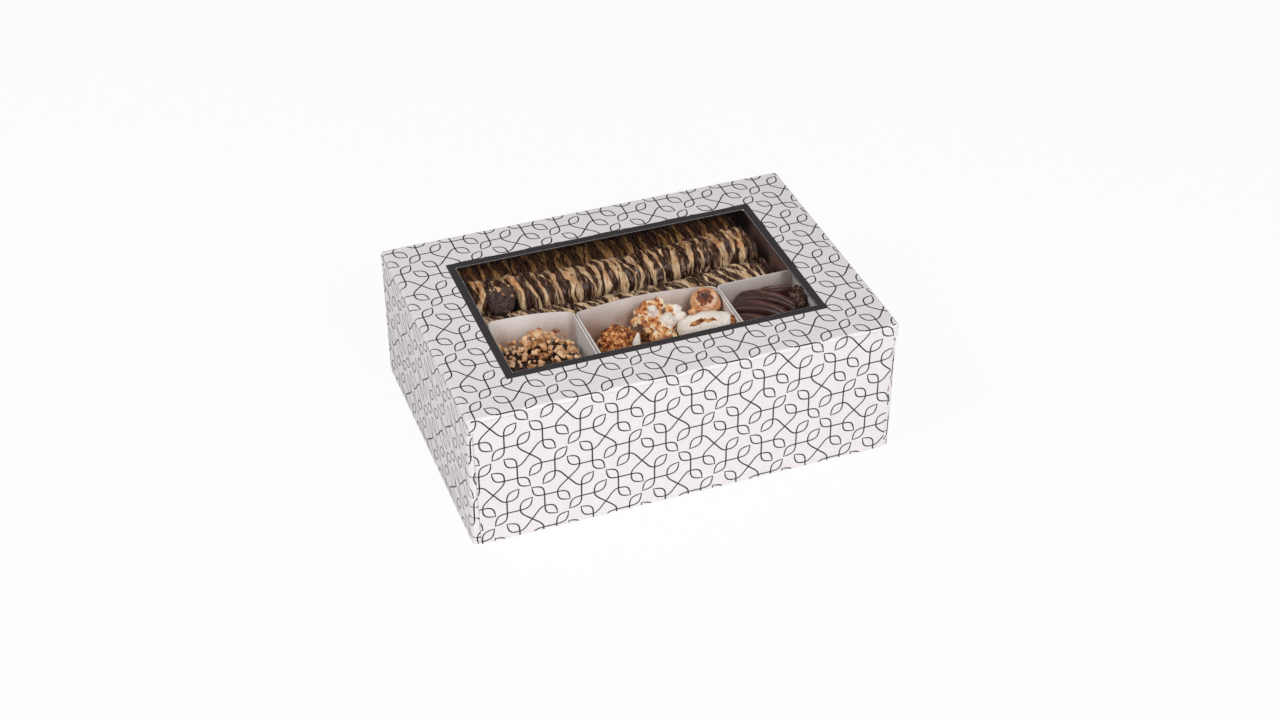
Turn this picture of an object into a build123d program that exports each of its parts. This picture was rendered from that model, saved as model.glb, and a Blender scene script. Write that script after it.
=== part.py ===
from build123d import *
import os
from math import cos, pi, radians, sin

# Sweet box: a printed folding carton with a hinged window lid, card trays and the sweets in them.
# Frame: the origin is the centre of the bottom face, +X runs along the long side, +Y to the back, +Z up.

# Closed carton
box_width = 305.0
box_depth = 210.0
box_height = 105.0

# Printed board and the ways it is folded
board = 1.0
layer_gap = 0.3            # between boards that slide past each other
crease_gap = 0.2           # the score line between a panel and its flap
crease_drop = 2.6          # from the top face down to the score line
top_fold_radius = 2.0      # outside radius of the lid's folded edges
lid_corner_radius = 2.4    # the lid's corners, seen from above
ear_fold_radius = 3.5      # outside radius of the fold between a side flap and its ear
base_fold_radius = 1.2
skirt_lift = 0.6           # the lid's flaps end this far above the table

# Window in the lid
window_width = 218.0
window_depth = 130.0
window_corner_radius = 0.8
film = 0.2
film_lap = 8.0             # film glued down beyond each edge of the window

# Front flap, narrower below its shoulders
flap_top_inset = 0.8
shoulder_drop = 7.0
shoulder_inset = 3.5
flap_foot_inset = 5.5
shoulder_radius = 2.0
flap_foot_radius = 3.0

# Side flaps with the ears that wrap round the front corners
ear_length = 58.0
ear_end_radius = 16.0
side_back_radius = 4.0

# Glued corner tabs inside the base
tab_width = 22.0
tab_end_slope = 9.0

# White card inlay: a raised floor with two spacers beside the trays
card = 1.0
card_fold_radius = 1.5
left_spacer_width = 38.5
right_spacer_width = 29.5
leg_setback = 7.0          # legs of the raised floor end this far before its corners
thumb_notch_radius = 12.0  # half-round notch in each spacer, to lift it out

# Trays
tray_card = 0.8
lid_headroom = 10.0        # from the trays' rims up to the lid's top face
tray_height = 35.0
tray_gap = 0.8
tray_corner_radius = 4.0
tray_fold_radius = 1.5
front_tray_depth = 95.8
left_tray_width_share = 0.5205     # of the width that the left and the right tray share
seam_width = 9.0           # glued seam showing on the inside of a tray's wall
seam_card = 0.4

# Rows of slices standing on edge in the back tray
slice_pitch = 5.6
row_end_room = 10.0            # free length at the right end of each row
slice_gap = 0.4
slice_sides = 14
slice_foot_angle_share = 0.15  # half the angle that the flat foot takes up, as a share of a turn
front_row_height = 38.0
middle_row_height = 38.4
rear_row_height = 31.0
row_wall_gap = 0.8
row_gap = 0.6
outline_wobble_share = 0.05    # unevenness of a slice's outline
outline_wobble_lobes = 3
outline_wobble_step = 2.4      # how the unevenness turns from slice to slice, in radians
height_wobble_share = 0.06     # unevenness of the row's heights
height_wobble_step = 1.7
row_dip = 6.0                  # how much lower the rows stand half way along than at their ends

# Nut-topped chocolates in the left tray
chocolate_height = 25.0
chocolate_side_gap = 3.7
chocolate_edge_radius = 7.0
chocolate_corner_radius = 14.0
chocolate_wall_gap = 2.0
chocolate_spacing = 3.0
nut_spacing = 5.7
nut_radius = 2.9
nut_height = 4.2
nut_sides = 5
nut_taper = 18.0
nut_size_wobble_share = 0.3
nut_size_wobble_step = 2.1
nut_turn = 77.0                # each nut is turned this much more than the last
nut_spread_share = 0.82        # how much of the chocolate's flat top the nuts cover

# Heaped pieces in the middle tray: flat-topped drums below, clusters on top of them
drum_radius = 15.2
drum_height = 15.0
drum_chamfer = 2.4
drum_gap = 0.6
heap_gap = 1.3                 # between the pieces on top of the drums
roll_radius = 10.5
roll_length = 40.0
roll_end_radius = 6.0
roll_turn = 16.0
roll_sink_share = 0.12         # how much of the roll's radius its flat foot takes off
praline_radius = 12.6
praline_foot_share = 0.98      # how high the praline's middle lies over its flat foot
crumb_cluster_size = 14.5
crumb_cluster_side_room = 8.2  # beside the tray's left wall
crumb_cluster_back_room = 12.0
caramel_cluster_size = 20.0
white_chunk_size = 9.0
white_chunk_foot_share = 0.6

# Round lumps of each cluster: x, y, z and radius as shares of its size
crumb_lump_shares = (
    (0.0, 0.0, 0.28, 0.62),
    (-0.48, 0.08, 0.22, 0.46),
    (0.46, -0.14, 0.20, 0.42),
    (0.08, -0.42, 0.16, 0.42),
)
caramel_lump_shares = (
    (0.0, 0.0, 0.42, 0.62),
    (-0.52, -0.12, 0.26, 0.44),
    (0.44, 0.12, 0.50, 0.46),
    (0.05, 0.36, 0.74, 0.42),
    (0.38, -0.46, 0.22, 0.40),
)
nugget_lump_shares = (
    (0.0, 0.0, 0.55, 0.8),
    (0.4, 0.6, 0.4, 0.6),
    (-0.2, -0.6, 0.4, 0.6),
)

# Chocolate sticks in the right tray: two layers lengthways, broad ones slanting over them
stick_width = 9.6
stick_gap = 0.8
stick_edge_radius = 2.6
long_stick_layers = 2
long_stick_front_room = 4.2
slant_stick_count = 3
slant_stick_length = 40.0
slant_stick_width = 13.0
slant_stick_height = 9.6
slant_stick_edge_radius = 3.6
slant_turn = -28.0
slant_stick_gap = 1.4
nugget_radius = 7.5
nugget_back_room = 20.0        # from the back wall to the middle of the nugget beside the slanting sticks

# One overrun for all cuts
overrun = 5.0

# Levels and edges that follow from the sizes above
side_layer = board + layer_gap
crease_level = box_height - crease_drop
flap_top = crease_level - crease_gap
base_wall_top = flap_top - layer_gap
base_width = box_width - 2 * side_layer
base_front = -box_depth / 2 + 2 * side_layer
base_back = box_depth / 2
base_corner_radius = ear_fold_radius - side_layer
inner_left = -base_width / 2 + board
inner_front = base_front + board
inner_back = base_back - board
inlay_left = inner_left + layer_gap
inlay_right = -inlay_left
inlay_front = inner_front + board + layer_gap
inlay_back = inner_back - board - layer_gap
tray_rim_top = box_height - lid_headroom
raised_floor_top = tray_rim_top - tray_height
tray_floor_top = raised_floor_top + tray_card
left_spacer_edge = inlay_left + left_spacer_width
right_spacer_edge = inlay_right - right_spacer_width
back_tray_x = (left_spacer_edge + layer_gap, right_spacer_edge - layer_gap)


def cluster_reaches(lump_shares, size):
    """How far a cluster of lumps reaches from its middle: to the left, the right, the front and the back."""
    left = max(r - x for x, y, z, r in lump_shares)
    right = max(r + x for x, y, z, r in lump_shares)
    front = max(r - y for x, y, z, r in lump_shares)
    back = max(r + y for x, y, z, r in lump_shares)
    return left * size, right * size, front * size, back * size


crumb_left, crumb_right, _, crumb_back = cluster_reaches(crumb_lump_shares, crumb_cluster_size)
caramel_left, caramel_right, caramel_front, caramel_back = cluster_reaches(
    caramel_lump_shares, caramel_cluster_size
)
crumb_width = crumb_left + crumb_right
caramel_width = caramel_left + caramel_right
heap_width = crumb_cluster_side_room + crumb_width + caramel_width + 2 * praline_radius + 2 * heap_gap
middle_tray_width = heap_width + 2 * (row_wall_gap + tray_card)
side_trays_width = back_tray_x[1] - back_tray_x[0] - middle_tray_width - 2 * tray_gap
left_tray_width = side_trays_width * left_tray_width_share
left_tray_x = (back_tray_x[0], back_tray_x[0] + left_tray_width)
middle_tray_x = (left_tray_x[1] + tray_gap, left_tray_x[1] + tray_gap + middle_tray_width)
right_tray_x = (middle_tray_x[1] + tray_gap, back_tray_x[1])
right_tray_width = right_tray_x[1] - right_tray_x[0]
front_tray_front = inner_front + layer_gap
front_tray_y = (front_tray_front, front_tray_front + front_tray_depth)
back_tray_y = (front_tray_y[1] + tray_gap, inner_back - layer_gap)
front_tray_back_wall = front_tray_y[1] - tray_card - seam_card
heap_level = tray_floor_top + drum_height
upper_stick_level = tray_floor_top + long_stick_layers * stick_width
chocolate_width = left_tray_width - 2 * tray_card - 2 * chocolate_side_gap
chocolates_depth = front_tray_depth - 2 * tray_card - seam_card - 2 * chocolate_wall_gap
chocolate_depth = (chocolates_depth - chocolate_spacing) / 2


def box_between(x_pair, y_pair, z_pair):
    """A block between two planes in each direction."""
    size = [high - low for low, high in (x_pair, y_pair, z_pair)]
    middle = [(high + low) / 2 for low, high in (x_pair, y_pair, z_pair)]
    return Pos(*middle) * Box(*size)


def rounded_plate(x_pair, y_pair, bottom, height, corner_radius):
    """An upright block with rounded corners, seen from above."""
    outline = RectangleRounded(x_pair[1] - x_pair[0], y_pair[1] - y_pair[0], corner_radius)
    middle = Pos(sum(x_pair) / 2, sum(y_pair) / 2, bottom)
    return middle * extrude(outline, amount=height)


def open_shell(block, wall, open_face):
    """The block hollowed to a wall, open at one face."""
    return offset(block, amount=-wall, openings=open_face)


def folded_strip(points, fold_radius, thickness):
    """A board folded along a line of points, as a flat profile. The radius is that of its middle layer."""
    return trace(FilletPolyline(*points, radius=fold_radius), thickness)


def across(profile, front, back):
    """A profile drawn in X and Z, drawn out from front to back."""
    return Pos(0, back, 0) * extrude(Plane.XZ * profile, amount=back - front)


def base_tray():
    """Floor and four walls, glued at the corners by tabs inside the front and back walls."""
    block = rounded_plate(
        (-base_width / 2, base_width / 2), (base_front, base_back), 0, base_wall_top, base_corner_radius
    )
    block = fillet(block.faces().sort_by(Axis.Z)[0].edges(), base_fold_radius)
    tray = open_shell(block, board, block.faces().sort_by(Axis.Z)[-1])
    foot = base_fold_radius
    tab_outline = Polyline(
        (inner_left, foot),
        (inner_left + tab_width, foot + tab_end_slope),
        (inner_left + tab_width, base_wall_top - tab_end_slope),
        (inner_left, base_wall_top),
        close=True,
    )
    tab = make_face(tab_outline)
    for front, back in ((inner_front, inner_front + board), (inner_back - board, inner_back)):
        left_tab = across(tab, front, back)
        tray += left_tab
        tray += mirror(left_tab, Plane.YZ)
    return tray


def lid_panel():
    """Top panel with its four rounded folds, cut off at the score lines, and the window opening."""
    cap = rounded_plate(
        (-box_width / 2, box_width / 2),
        (-box_depth / 2, box_depth / 2),
        crease_level,
        crease_drop,
        lid_corner_radius,
    )
    cap = fillet(cap.faces().sort_by(Axis.Z)[-1].edges(), top_fold_radius)
    cap = open_shell(cap, board, cap.faces().sort_by(Axis.Z)[0])
    opening = RectangleRounded(window_width, window_depth, window_corner_radius)
    return cap - Pos(0, 0, crease_level) * extrude(opening, amount=crease_drop + overrun)


def window_film():
    """Clear film glued under the window."""
    half_width = window_width / 2 + film_lap
    half_depth = window_depth / 2 + film_lap
    film_z = (box_height - board - film, box_height - board)
    return box_between((-half_width, half_width), (-half_depth, half_depth), film_z)


def front_flap():
    """Full-height flap in front: shoulders at the top, then sides that taper to the foot."""
    half = box_width / 2
    shoulder = flap_top - shoulder_drop
    right = [
        (half - flap_top_inset, flap_top),
        (half - flap_top_inset, shoulder),
        (half - shoulder_inset, shoulder),
        (half - flap_foot_inset, skirt_lift),
    ]
    left = [(-x, z) for x, z in reversed(right)]
    outline = make_face(Polyline(*right, *left, close=True))
    shoulders = outline.vertices().group_by(Axis.Y)[1]
    outline = fillet(shoulders.sort_by(lambda corner: abs(corner.X))[:2], shoulder_radius)
    outline = fillet(outline.vertices().group_by(Axis.Y)[0], flap_foot_radius)
    return across(outline, -box_depth / 2, -box_depth / 2 + board)


def left_flap():
    """Side flap that runs outside the base wall and ends in an ear behind the front flap."""
    middle_x = -box_width / 2 + board / 2
    middle_y = -box_depth / 2 + side_layer + board / 2
    ear_end = -box_width / 2 + ear_length
    plan = folded_strip(
        [(middle_x, box_depth / 2), (middle_x, middle_y), (ear_end, middle_y)],
        ear_fold_radius - board / 2,
        board,
    )
    flap = Pos(0, 0, skirt_lift) * extrude(plan, amount=flap_top - skirt_lift)
    ear_edges = flap.faces().sort_by(Axis.X)[-1].edges().filter_by(Axis.Y)
    flap = fillet(ear_edges, ear_end_radius)
    back_edges = flap.faces().sort_by(Axis.Y)[-1].edges().filter_by(Axis.X)
    return fillet(back_edges.sort_by(Axis.Z)[0], side_back_radius)


def raised_floor():
    """Card platform: a flat top on four legs folded down from its edges, with open corners."""
    x_pair = (inlay_left, inlay_right)
    y_pair = (inlay_front, inlay_back)
    height = raised_floor_top - board
    block = box_between(x_pair, y_pair, (board, raised_floor_top))
    block = fillet(block.faces().sort_by(Axis.Z)[-1].edges(), card_fold_radius)
    platform = open_shell(block, card, block.faces().sort_by(Axis.Z)[0])
    slot_top = raised_floor_top - card_fold_radius
    for x in x_pair:
        for y in y_pair:
            platform -= box_between(
                (x - leg_setback, x + leg_setback), (y - leg_setback, y + leg_setback), (-height, slot_top)
            )
    return platform


def spacer(outer_x, inner_x):
    """Card channel that fills the space between a box wall and the trays, with a notch to lift it by."""
    low, high = sorted((outer_x, inner_x))
    half_card = card / 2
    profile = folded_strip(
        [
            (low + half_card, raised_floor_top),
            (low + half_card, tray_rim_top - half_card),
            (high - half_card, tray_rim_top - half_card),
            (high - half_card, raised_floor_top),
        ],
        card_fold_radius - half_card,
        card,
    )
    channel = across(profile, inlay_front, inlay_back)
    notch = Pos(inner_x, 0, tray_rim_top) * Sphere(thumb_notch_radius)
    return channel - notch


def card_tray(x_pair, y_pair):
    """Open card tray with rounded corners and a glued seam inside its back wall."""
    block = rounded_plate(x_pair, y_pair, raised_floor_top, tray_height, tray_corner_radius)
    block = fillet(block.faces().sort_by(Axis.Z)[0].edges(), tray_fold_radius)
    tray = open_shell(block, tray_card, block.faces().sort_by(Axis.Z)[-1])
    seam_right = x_pair[1] - tray_corner_radius
    back_wall = y_pair[1] - tray_card
    seam = box_between(
        (seam_right - seam_width, seam_right),
        (back_wall - seam_card, back_wall),
        (raised_floor_top + tray_fold_radius, tray_rim_top),
    )
    return tray + seam


def slice_outline(half_width, height, number):
    """Flat-footed round outline of one slice in its own plane, a little uneven, with its foot at zero."""
    foot_angle = 2 * pi * slice_foot_angle_share
    start = -pi / 2 + foot_angle
    sweep = 2 * (pi - foot_angle)
    foot = sin(start)
    points = []
    for step in range(slice_sides):
        angle = start + sweep * step / (slice_sides - 1)
        wave = sin(outline_wobble_lobes * angle + outline_wobble_step * number)
        uneven = 1 - outline_wobble_share * (1 + wave) / 2
        rise = (sin(angle) - foot) / (1 - foot)
        points.append((half_width * uneven * cos(angle), height * rise * uneven))
    return make_face(Polyline(*points, close=True))


def slice_row(row, row_height):
    """One row of slices side by side along X, standing on the tray's floor."""
    front = back_tray_y[0] + tray_card + row_wall_gap
    back = back_tray_y[1] - tray_card - seam_card - row_wall_gap
    row_depth = (back - front - 2 * row_gap) / 3
    row_y = front + row_depth / 2 + row * (row_depth + row_gap)
    start_x = back_tray_x[0] + tray_card + row_wall_gap
    row_end = back_tray_x[1] - tray_card - row_end_room
    slice_count = int((row_end - start_x) / slice_pitch)
    slices = []
    for number in range(slice_count):
        height = row_height * (1 - height_wobble_share * (1 + sin(height_wobble_step * number + row)) / 2)
        height -= row_dip * sin(pi * number / (slice_count - 1)) ** 2
        face = slice_outline(row_depth / 2, height, number + row)
        blade = extrude(Plane.YZ * face, amount=slice_pitch - slice_gap)
        slices.append(Pos(start_x + number * slice_pitch, row_y, tray_floor_top) * blade)
    return Compound(children=slices)


def nut_chocolate_places():
    """Middles of the two nut-topped chocolates in the left tray, back one first."""
    x = sum(left_tray_x) / 2
    back_y = front_tray_back_wall - chocolate_wall_gap - chocolate_depth / 2
    return [(x, back_y), (x, back_y - chocolate_depth - chocolate_spacing)]


def nut_chocolates():
    """Two thick rounded chocolates with flat tops."""
    blocks = []
    outline = RectangleRounded(chocolate_width, chocolate_depth, chocolate_corner_radius)
    for x, y in nut_chocolate_places():
        block = extrude(outline, amount=chocolate_height)
        block = fillet(block.faces().sort_by(Axis.Z)[-1].edges(), chocolate_edge_radius)
        blocks.append(Pos(x, y, tray_floor_top) * block)
    return Compound(children=blocks)


def chopped_nuts():
    """Chopped nuts spread in a sunflower spiral over the flat top of each chocolate."""
    golden_angle = pi * (3 - 5 ** 0.5)
    top = tray_floor_top + chocolate_height
    reach_x = (chocolate_width / 2 - chocolate_edge_radius) * nut_spread_share
    reach_y = (chocolate_depth / 2 - chocolate_edge_radius) * nut_spread_share
    nut_count = int(pi * reach_x * reach_y / nut_spacing ** 2)
    nuts = []
    for x, y in nut_chocolate_places():
        for number in range(nut_count):
            out = ((number + 0.5) / nut_count) ** 0.5
            turn = number * golden_angle
            size = 1 - nut_size_wobble_share * (1 + sin(nut_size_wobble_step * number)) / 2
            foot = RegularPolygon(nut_radius * size, nut_sides)
            chip = extrude(foot, amount=nut_height * size, taper=nut_taper)
            place = Pos(x + reach_x * out * cos(turn), y + reach_y * out * sin(turn), top)
            nuts.append(place * Rot(0, 0, nut_turn * number) * chip)
    return Compound(children=nuts)


def lower_clusters():
    """The layer of flat-topped drums that the heap in the middle tray lies on."""
    pitch_y = 2 * drum_radius + drum_gap
    drum_columns = int((middle_tray_width - 2 * tray_card - drum_gap) / pitch_y)
    drum_rows = int((front_tray_depth - 2 * tray_card - seam_card - drum_gap) / pitch_y)
    pitch_x = (middle_tray_width - 2 * tray_card) / drum_columns
    back_y = front_tray_back_wall - drum_gap - drum_radius
    drum = Cylinder(drum_radius, drum_height)
    drum = chamfer(drum.edges().filter_by(GeomType.CIRCLE), drum_chamfer)
    drums = []
    for column in range(drum_columns):
        for row in range(drum_rows):
            x = middle_tray_x[0] + tray_card + pitch_x * (column + 0.5)
            drums.append(Pos(x, back_y - row * pitch_y, tray_floor_top + drum_height / 2) * drum)
    return Compound(children=drums)


def flat_below(shape, reach):
    """The part of a shape that lies above zero height."""
    return shape & Pos(0, 0, reach) * Box(2 * reach, 2 * reach, 2 * reach)


def cluster(lump_shares, size):
    """A rough cluster of round lumps, flat where it sits."""
    lumps = [Pos(x * size, y * size, z * size) * Sphere(r * size) for x, y, z, r in lump_shares]
    return flat_below(lumps[0].fuse(*lumps[1:]), 2 * size)


heap_left = middle_tray_x[0] + tray_card + row_wall_gap
heap_right = middle_tray_x[1] - tray_card - row_wall_gap
heap_back = front_tray_back_wall - row_wall_gap
crumb_edge = heap_left + crumb_cluster_side_room
caramel_edge = crumb_edge + crumb_width + heap_gap
praline_front = heap_back - 2 * praline_radius


def crumb_cluster():
    """Golden crumb-covered cluster at the left of the heap."""
    place = Pos(crumb_edge + crumb_left, heap_back - crumb_cluster_back_room - crumb_back, heap_level)
    return place * cluster(crumb_lump_shares, crumb_cluster_size)


def caramel_cluster():
    """Large white and caramel cluster in the middle of the heap."""
    place = Pos(caramel_edge + caramel_left, heap_back - caramel_back, heap_level)
    return place * cluster(caramel_lump_shares, caramel_cluster_size)


def white_chunk():
    """Small wedge of white chocolate in front of the caramel cluster."""
    foot_radius = white_chunk_size * white_chunk_foot_share
    x = caramel_edge + heap_gap + foot_radius
    y = heap_back - caramel_back - caramel_front - heap_gap - foot_radius
    wedge = extrude(RegularPolygon(foot_radius, 4), amount=white_chunk_size, taper=nut_taper)
    return Pos(x, y, heap_level) * wedge


def round_praline():
    """Round praline at the back right of the heap, flat below."""
    ball = Pos(0, 0, praline_radius * praline_foot_share) * Sphere(praline_radius)
    place = Pos(heap_right - praline_radius, heap_back - praline_radius, heap_level)
    return place * flat_below(ball, 2 * praline_radius)


def white_roll():
    """White roll lying across the front of the heap, flat below."""
    turn = radians(roll_turn)
    half_straight = roll_length / 2 - roll_end_radius
    end_flat = roll_radius - roll_end_radius
    reach_x = half_straight * cos(turn) + end_flat * sin(turn) + roll_end_radius
    reach_y = half_straight * sin(turn) + end_flat * cos(turn) + roll_end_radius
    roll = fillet(Cylinder(roll_radius, roll_length).edges(), roll_end_radius)
    roll = Pos(0, 0, roll_radius * (1 - roll_sink_share)) * Rot(0, 90, 0) * roll
    place = Pos(heap_right - reach_x, praline_front - heap_gap - reach_y, heap_level)
    return place * Rot(0, 0, roll_turn) * flat_below(roll, roll_length)


def stick(length, width, height, edge_radius):
    """One chocolate stick along X, its foot at zero height and its middle at zero."""
    end = Pos(0, height / 2) * RectangleRounded(width, height, edge_radius)
    return Pos(-length / 2, 0, 0) * extrude(Plane.YZ * end, amount=length)


def lower_sticks():
    """Layers of sticks that lie lengthways on the floor of the right tray."""
    room = right_tray_width - 2 * tray_card - 2 * row_wall_gap
    long_stick_count = int(room / (stick_width + stick_gap))
    pitch = room / long_stick_count
    front_end = front_tray_y[0] + tray_card + row_wall_gap + long_stick_front_room
    back_end = front_tray_back_wall - row_wall_gap
    bar = Rot(0, 0, 90) * stick(back_end - front_end, stick_width, stick_width, stick_edge_radius)
    sticks = []
    for layer in range(long_stick_layers):
        for number in range(long_stick_count):
            x = right_tray_x[0] + tray_card + row_wall_gap + pitch * (number + 0.5)
            y = (front_end + back_end) / 2
            sticks.append(Pos(x, y, tray_floor_top + layer * stick_width) * bar)
    return Compound(children=sticks)


def chocolate_sticks():
    """Broad sticks side by side on top of the lower ones, slanting to the front."""
    turn = radians(slant_turn)
    reach_x = (slant_stick_length * cos(turn) - slant_stick_width * sin(turn)) / 2
    reach_y = (slant_stick_width * cos(turn) - slant_stick_length * sin(turn)) / 2
    x = right_tray_x[0] + tray_card + row_wall_gap + reach_x
    first_y = front_tray_back_wall - row_wall_gap - reach_y
    step = (slant_stick_width + slant_stick_gap) / cos(turn)
    bar = stick(slant_stick_length, slant_stick_width, slant_stick_height, slant_stick_edge_radius)
    sticks = []
    for number in range(slant_stick_count):
        place = Pos(x, first_y - number * step, upper_stick_level)
        sticks.append(place * Rot(0, 0, slant_turn) * bar)
    return Compound(children=sticks)


def crumb_nugget():
    """Small crumb-covered nugget at the right wall, beside the slanting sticks."""
    nugget_right = cluster_reaches(nugget_lump_shares, nugget_radius)[1]
    x = right_tray_x[1] - tray_card - row_wall_gap - nugget_right
    y = front_tray_back_wall - nugget_back_room
    return Pos(x, y, upper_stick_level) * cluster(nugget_lump_shares, nugget_radius)


pieces = {
    "base_tray": base_tray(),
    "lid_panel": lid_panel(),
    "window_film": window_film(),
    "front_flap": front_flap(),
    "left_flap": left_flap(),
    "right_flap": mirror(left_flap(), Plane.YZ),
    "raised_floor": raised_floor(),
    "left_spacer": spacer(inlay_left, left_spacer_edge),
    "right_spacer": spacer(inlay_right, right_spacer_edge),
    "back_tray": card_tray(back_tray_x, back_tray_y),
    "left_tray": card_tray(left_tray_x, front_tray_y),
    "middle_tray": card_tray(middle_tray_x, front_tray_y),
    "right_tray": card_tray(right_tray_x, front_tray_y),
    "front_slices": slice_row(0, front_row_height),
    "middle_slices": slice_row(1, middle_row_height),
    "rear_slices": slice_row(2, rear_row_height),
    "nut_chocolates": nut_chocolates(),
    "chopped_nuts": chopped_nuts(),
    "lower_clusters": lower_clusters(),
    "crumb_cluster": crumb_cluster(),
    "white_chunk": white_chunk(),
    "caramel_cluster": caramel_cluster(),
    "round_praline": round_praline(),
    "white_roll": white_roll(),
    "lower_sticks": lower_sticks(),
    "chocolate_sticks": chocolate_sticks(),
    "crumb_nugget": crumb_nugget(),
}

os.makedirs("parts", exist_ok=True)
for node, piece in pieces.items():
    export_step(piece, os.path.join("parts", node + ".step"))
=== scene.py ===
# Sweet box: printed carton with a window lid, paper trays and the sweets in them, in metres.
import random
from math import cos, pi, radians, sin, sqrt

import bmesh
import bpy
from mathutils import Matrix, Vector, noise


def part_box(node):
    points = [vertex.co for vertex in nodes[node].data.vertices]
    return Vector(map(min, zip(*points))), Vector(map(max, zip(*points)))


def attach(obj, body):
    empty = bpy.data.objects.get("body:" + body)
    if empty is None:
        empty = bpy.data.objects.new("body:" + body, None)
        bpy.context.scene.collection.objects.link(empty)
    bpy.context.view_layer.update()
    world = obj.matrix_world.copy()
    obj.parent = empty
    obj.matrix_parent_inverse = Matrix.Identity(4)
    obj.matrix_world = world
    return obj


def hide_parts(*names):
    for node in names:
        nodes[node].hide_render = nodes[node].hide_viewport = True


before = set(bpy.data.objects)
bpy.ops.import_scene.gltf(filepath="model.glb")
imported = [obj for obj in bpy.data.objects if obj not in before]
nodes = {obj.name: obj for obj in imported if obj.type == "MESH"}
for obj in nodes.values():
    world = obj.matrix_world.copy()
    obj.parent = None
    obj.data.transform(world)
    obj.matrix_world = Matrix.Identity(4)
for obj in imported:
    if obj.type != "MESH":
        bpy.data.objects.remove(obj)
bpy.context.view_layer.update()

# Camera, fitted to the corners of the carton in the photograph
camera_azimuth = -20.581
camera_elevation = 36.552
camera_distance = 1.4758
camera_aim = (-0.00126, -0.01521, 0.0525)
camera_lens = 59.21
camera_sensor = 36

# Printed line ornament: a trellis whose links make three pointed leaves each
ink_width = 0.00104
ink_height = 0.00005
trellis_width = 0.052
trellis_height = 0.0555
trellis_origin = (-0.0855, -0.11384)
leaf_length = 0.0122
leaf_tip_angle = radians(40)
leaf_foot_handle = 0.0066
leaf_tip_handle = 0.0072
stem_handle = 0.0038
across_first_steps = ((0.0090, 0.0083), (0.0, 0.0096), (0.0089, 0.0), (0.0081, 0.00985))
down_first_steps = ((0.0078, 0.0095), (0.0091, 0.0), (0.0, 0.0094), (0.0091, 0.00885))
curve_steps = 5

# How the carton is folded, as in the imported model
top_fold_radius = 0.002
ear_fold_radius = 0.0035
crease_drop = 0.0026
crease_gap = 0.0002
board = 0.001
layer_gap = 0.0003
film_lap = 0.008
band_width = 0.0058
band_hairline = 0.00012
fold_corner_margin = 0.0006
printed_ear = 0.014
flap_top_inset = 0.0008
shoulder_drop = 0.007
shoulder_inset = 0.0035
flap_foot_inset = 0.0055
printed_foot_gap = 0.0014
fold_steps = 5
cut_tolerance = 1e-7

lid_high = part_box("lid_panel")[1]
film_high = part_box("window_film")[1]
base_low, base_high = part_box("base_tray")
flap_low, flap_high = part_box("front_flap")


def node_group(made):
    """The node tree of a finish, its Principled shader and a Texture Coordinate node."""
    tree = made.node_tree
    return tree, tree.nodes["Principled BSDF"], tree.nodes.new("ShaderNodeTexCoord")


def grain(tree, places, scale, detail=4.0, roughness=0.6, distortion=0.0):
    """A noise node on Object coordinates. Scale is in features per metre."""
    texture = tree.nodes.new("ShaderNodeTexNoise")
    texture.inputs["Scale"].default_value = scale
    texture.inputs["Detail"].default_value = detail
    texture.inputs["Roughness"].default_value = roughness
    texture.inputs["Distortion"].default_value = distortion
    tree.links.new(places.outputs["Object"], texture.inputs["Vector"])
    return texture


def ramp(tree, source, stops):
    """A colour ramp over the source socket. Each stop is a place and a colour."""
    colours = tree.nodes.new("ShaderNodeValToRGB")
    elements = colours.color_ramp.elements
    elements[0].position, elements[0].color = stops[0][0], (*stops[0][1], 1)
    elements[1].position, elements[1].color = stops[-1][0], (*stops[-1][1], 1)
    for place, colour in stops[1:-1]:
        element = elements.new(place)
        element.color = (*colour, 1)
    tree.links.new(source, colours.inputs["Fac"])
    return colours


def bump(tree, shader, height, strength, distance):
    """Bump of the shader from a height socket."""
    relief = tree.nodes.new("ShaderNodeBump")
    relief.inputs["Strength"].default_value = strength
    relief.inputs["Distance"].default_value = distance
    tree.links.new(height, relief.inputs["Height"])
    tree.links.new(relief.outputs["Normal"], shader.inputs["Normal"])


def finish(name, stops, scale, roughness, bump_scale, bump_strength, bump_distance):
    """A finish whose colour runs over a noise, with a finer noise for its relief."""
    made = bpy.data.materials.new(name)
    made.use_nodes = True
    tree, shader, places = node_group(made)
    colour_noise = grain(tree, places, scale)
    colours = ramp(tree, colour_noise.outputs[0], stops)
    tree.links.new(colours.outputs["Color"], shader.inputs["Base Color"])
    shader.inputs["Roughness"].default_value = roughness
    relief = grain(tree, places, bump_scale)
    bump(tree, shader, relief.outputs[0], bump_strength, bump_distance)
    return made


printed_board = finish(
    "printed_board", [(0.3, (0.80, 0.755, 0.76)), (0.7, (0.85, 0.81, 0.815))], 900, 0.42,
    bump_scale=2600, bump_strength=0.12, bump_distance=0.0001,
)
plain_board = finish(
    "plain_board", [(0.3, (0.70, 0.69, 0.67)), (0.7, (0.77, 0.76, 0.74))], 700, 0.65,
    bump_scale=2200, bump_strength=0.2, bump_distance=0.0001,
)
ink = finish(
    "ink", [(0.3, (0.008, 0.008, 0.010)), (0.7, (0.016, 0.016, 0.018))], 600, 0.5,
    bump_scale=1800, bump_strength=0.05, bump_distance=0.00005,
)
band_ink = finish(
    "band_ink", [(0.25, (0.019, 0.016, 0.018)), (0.75, (0.028, 0.024, 0.026))], 1500, 0.6,
    bump_scale=2400, bump_strength=0.12, bump_distance=0.0001,
)
white_card = finish(
    "white_card", [(0.3, (0.86, 0.815, 0.79)), (0.7, (0.91, 0.87, 0.85))], 500, 0.55,
    bump_scale=1800, bump_strength=0.15, bump_distance=0.0001,
)
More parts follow.
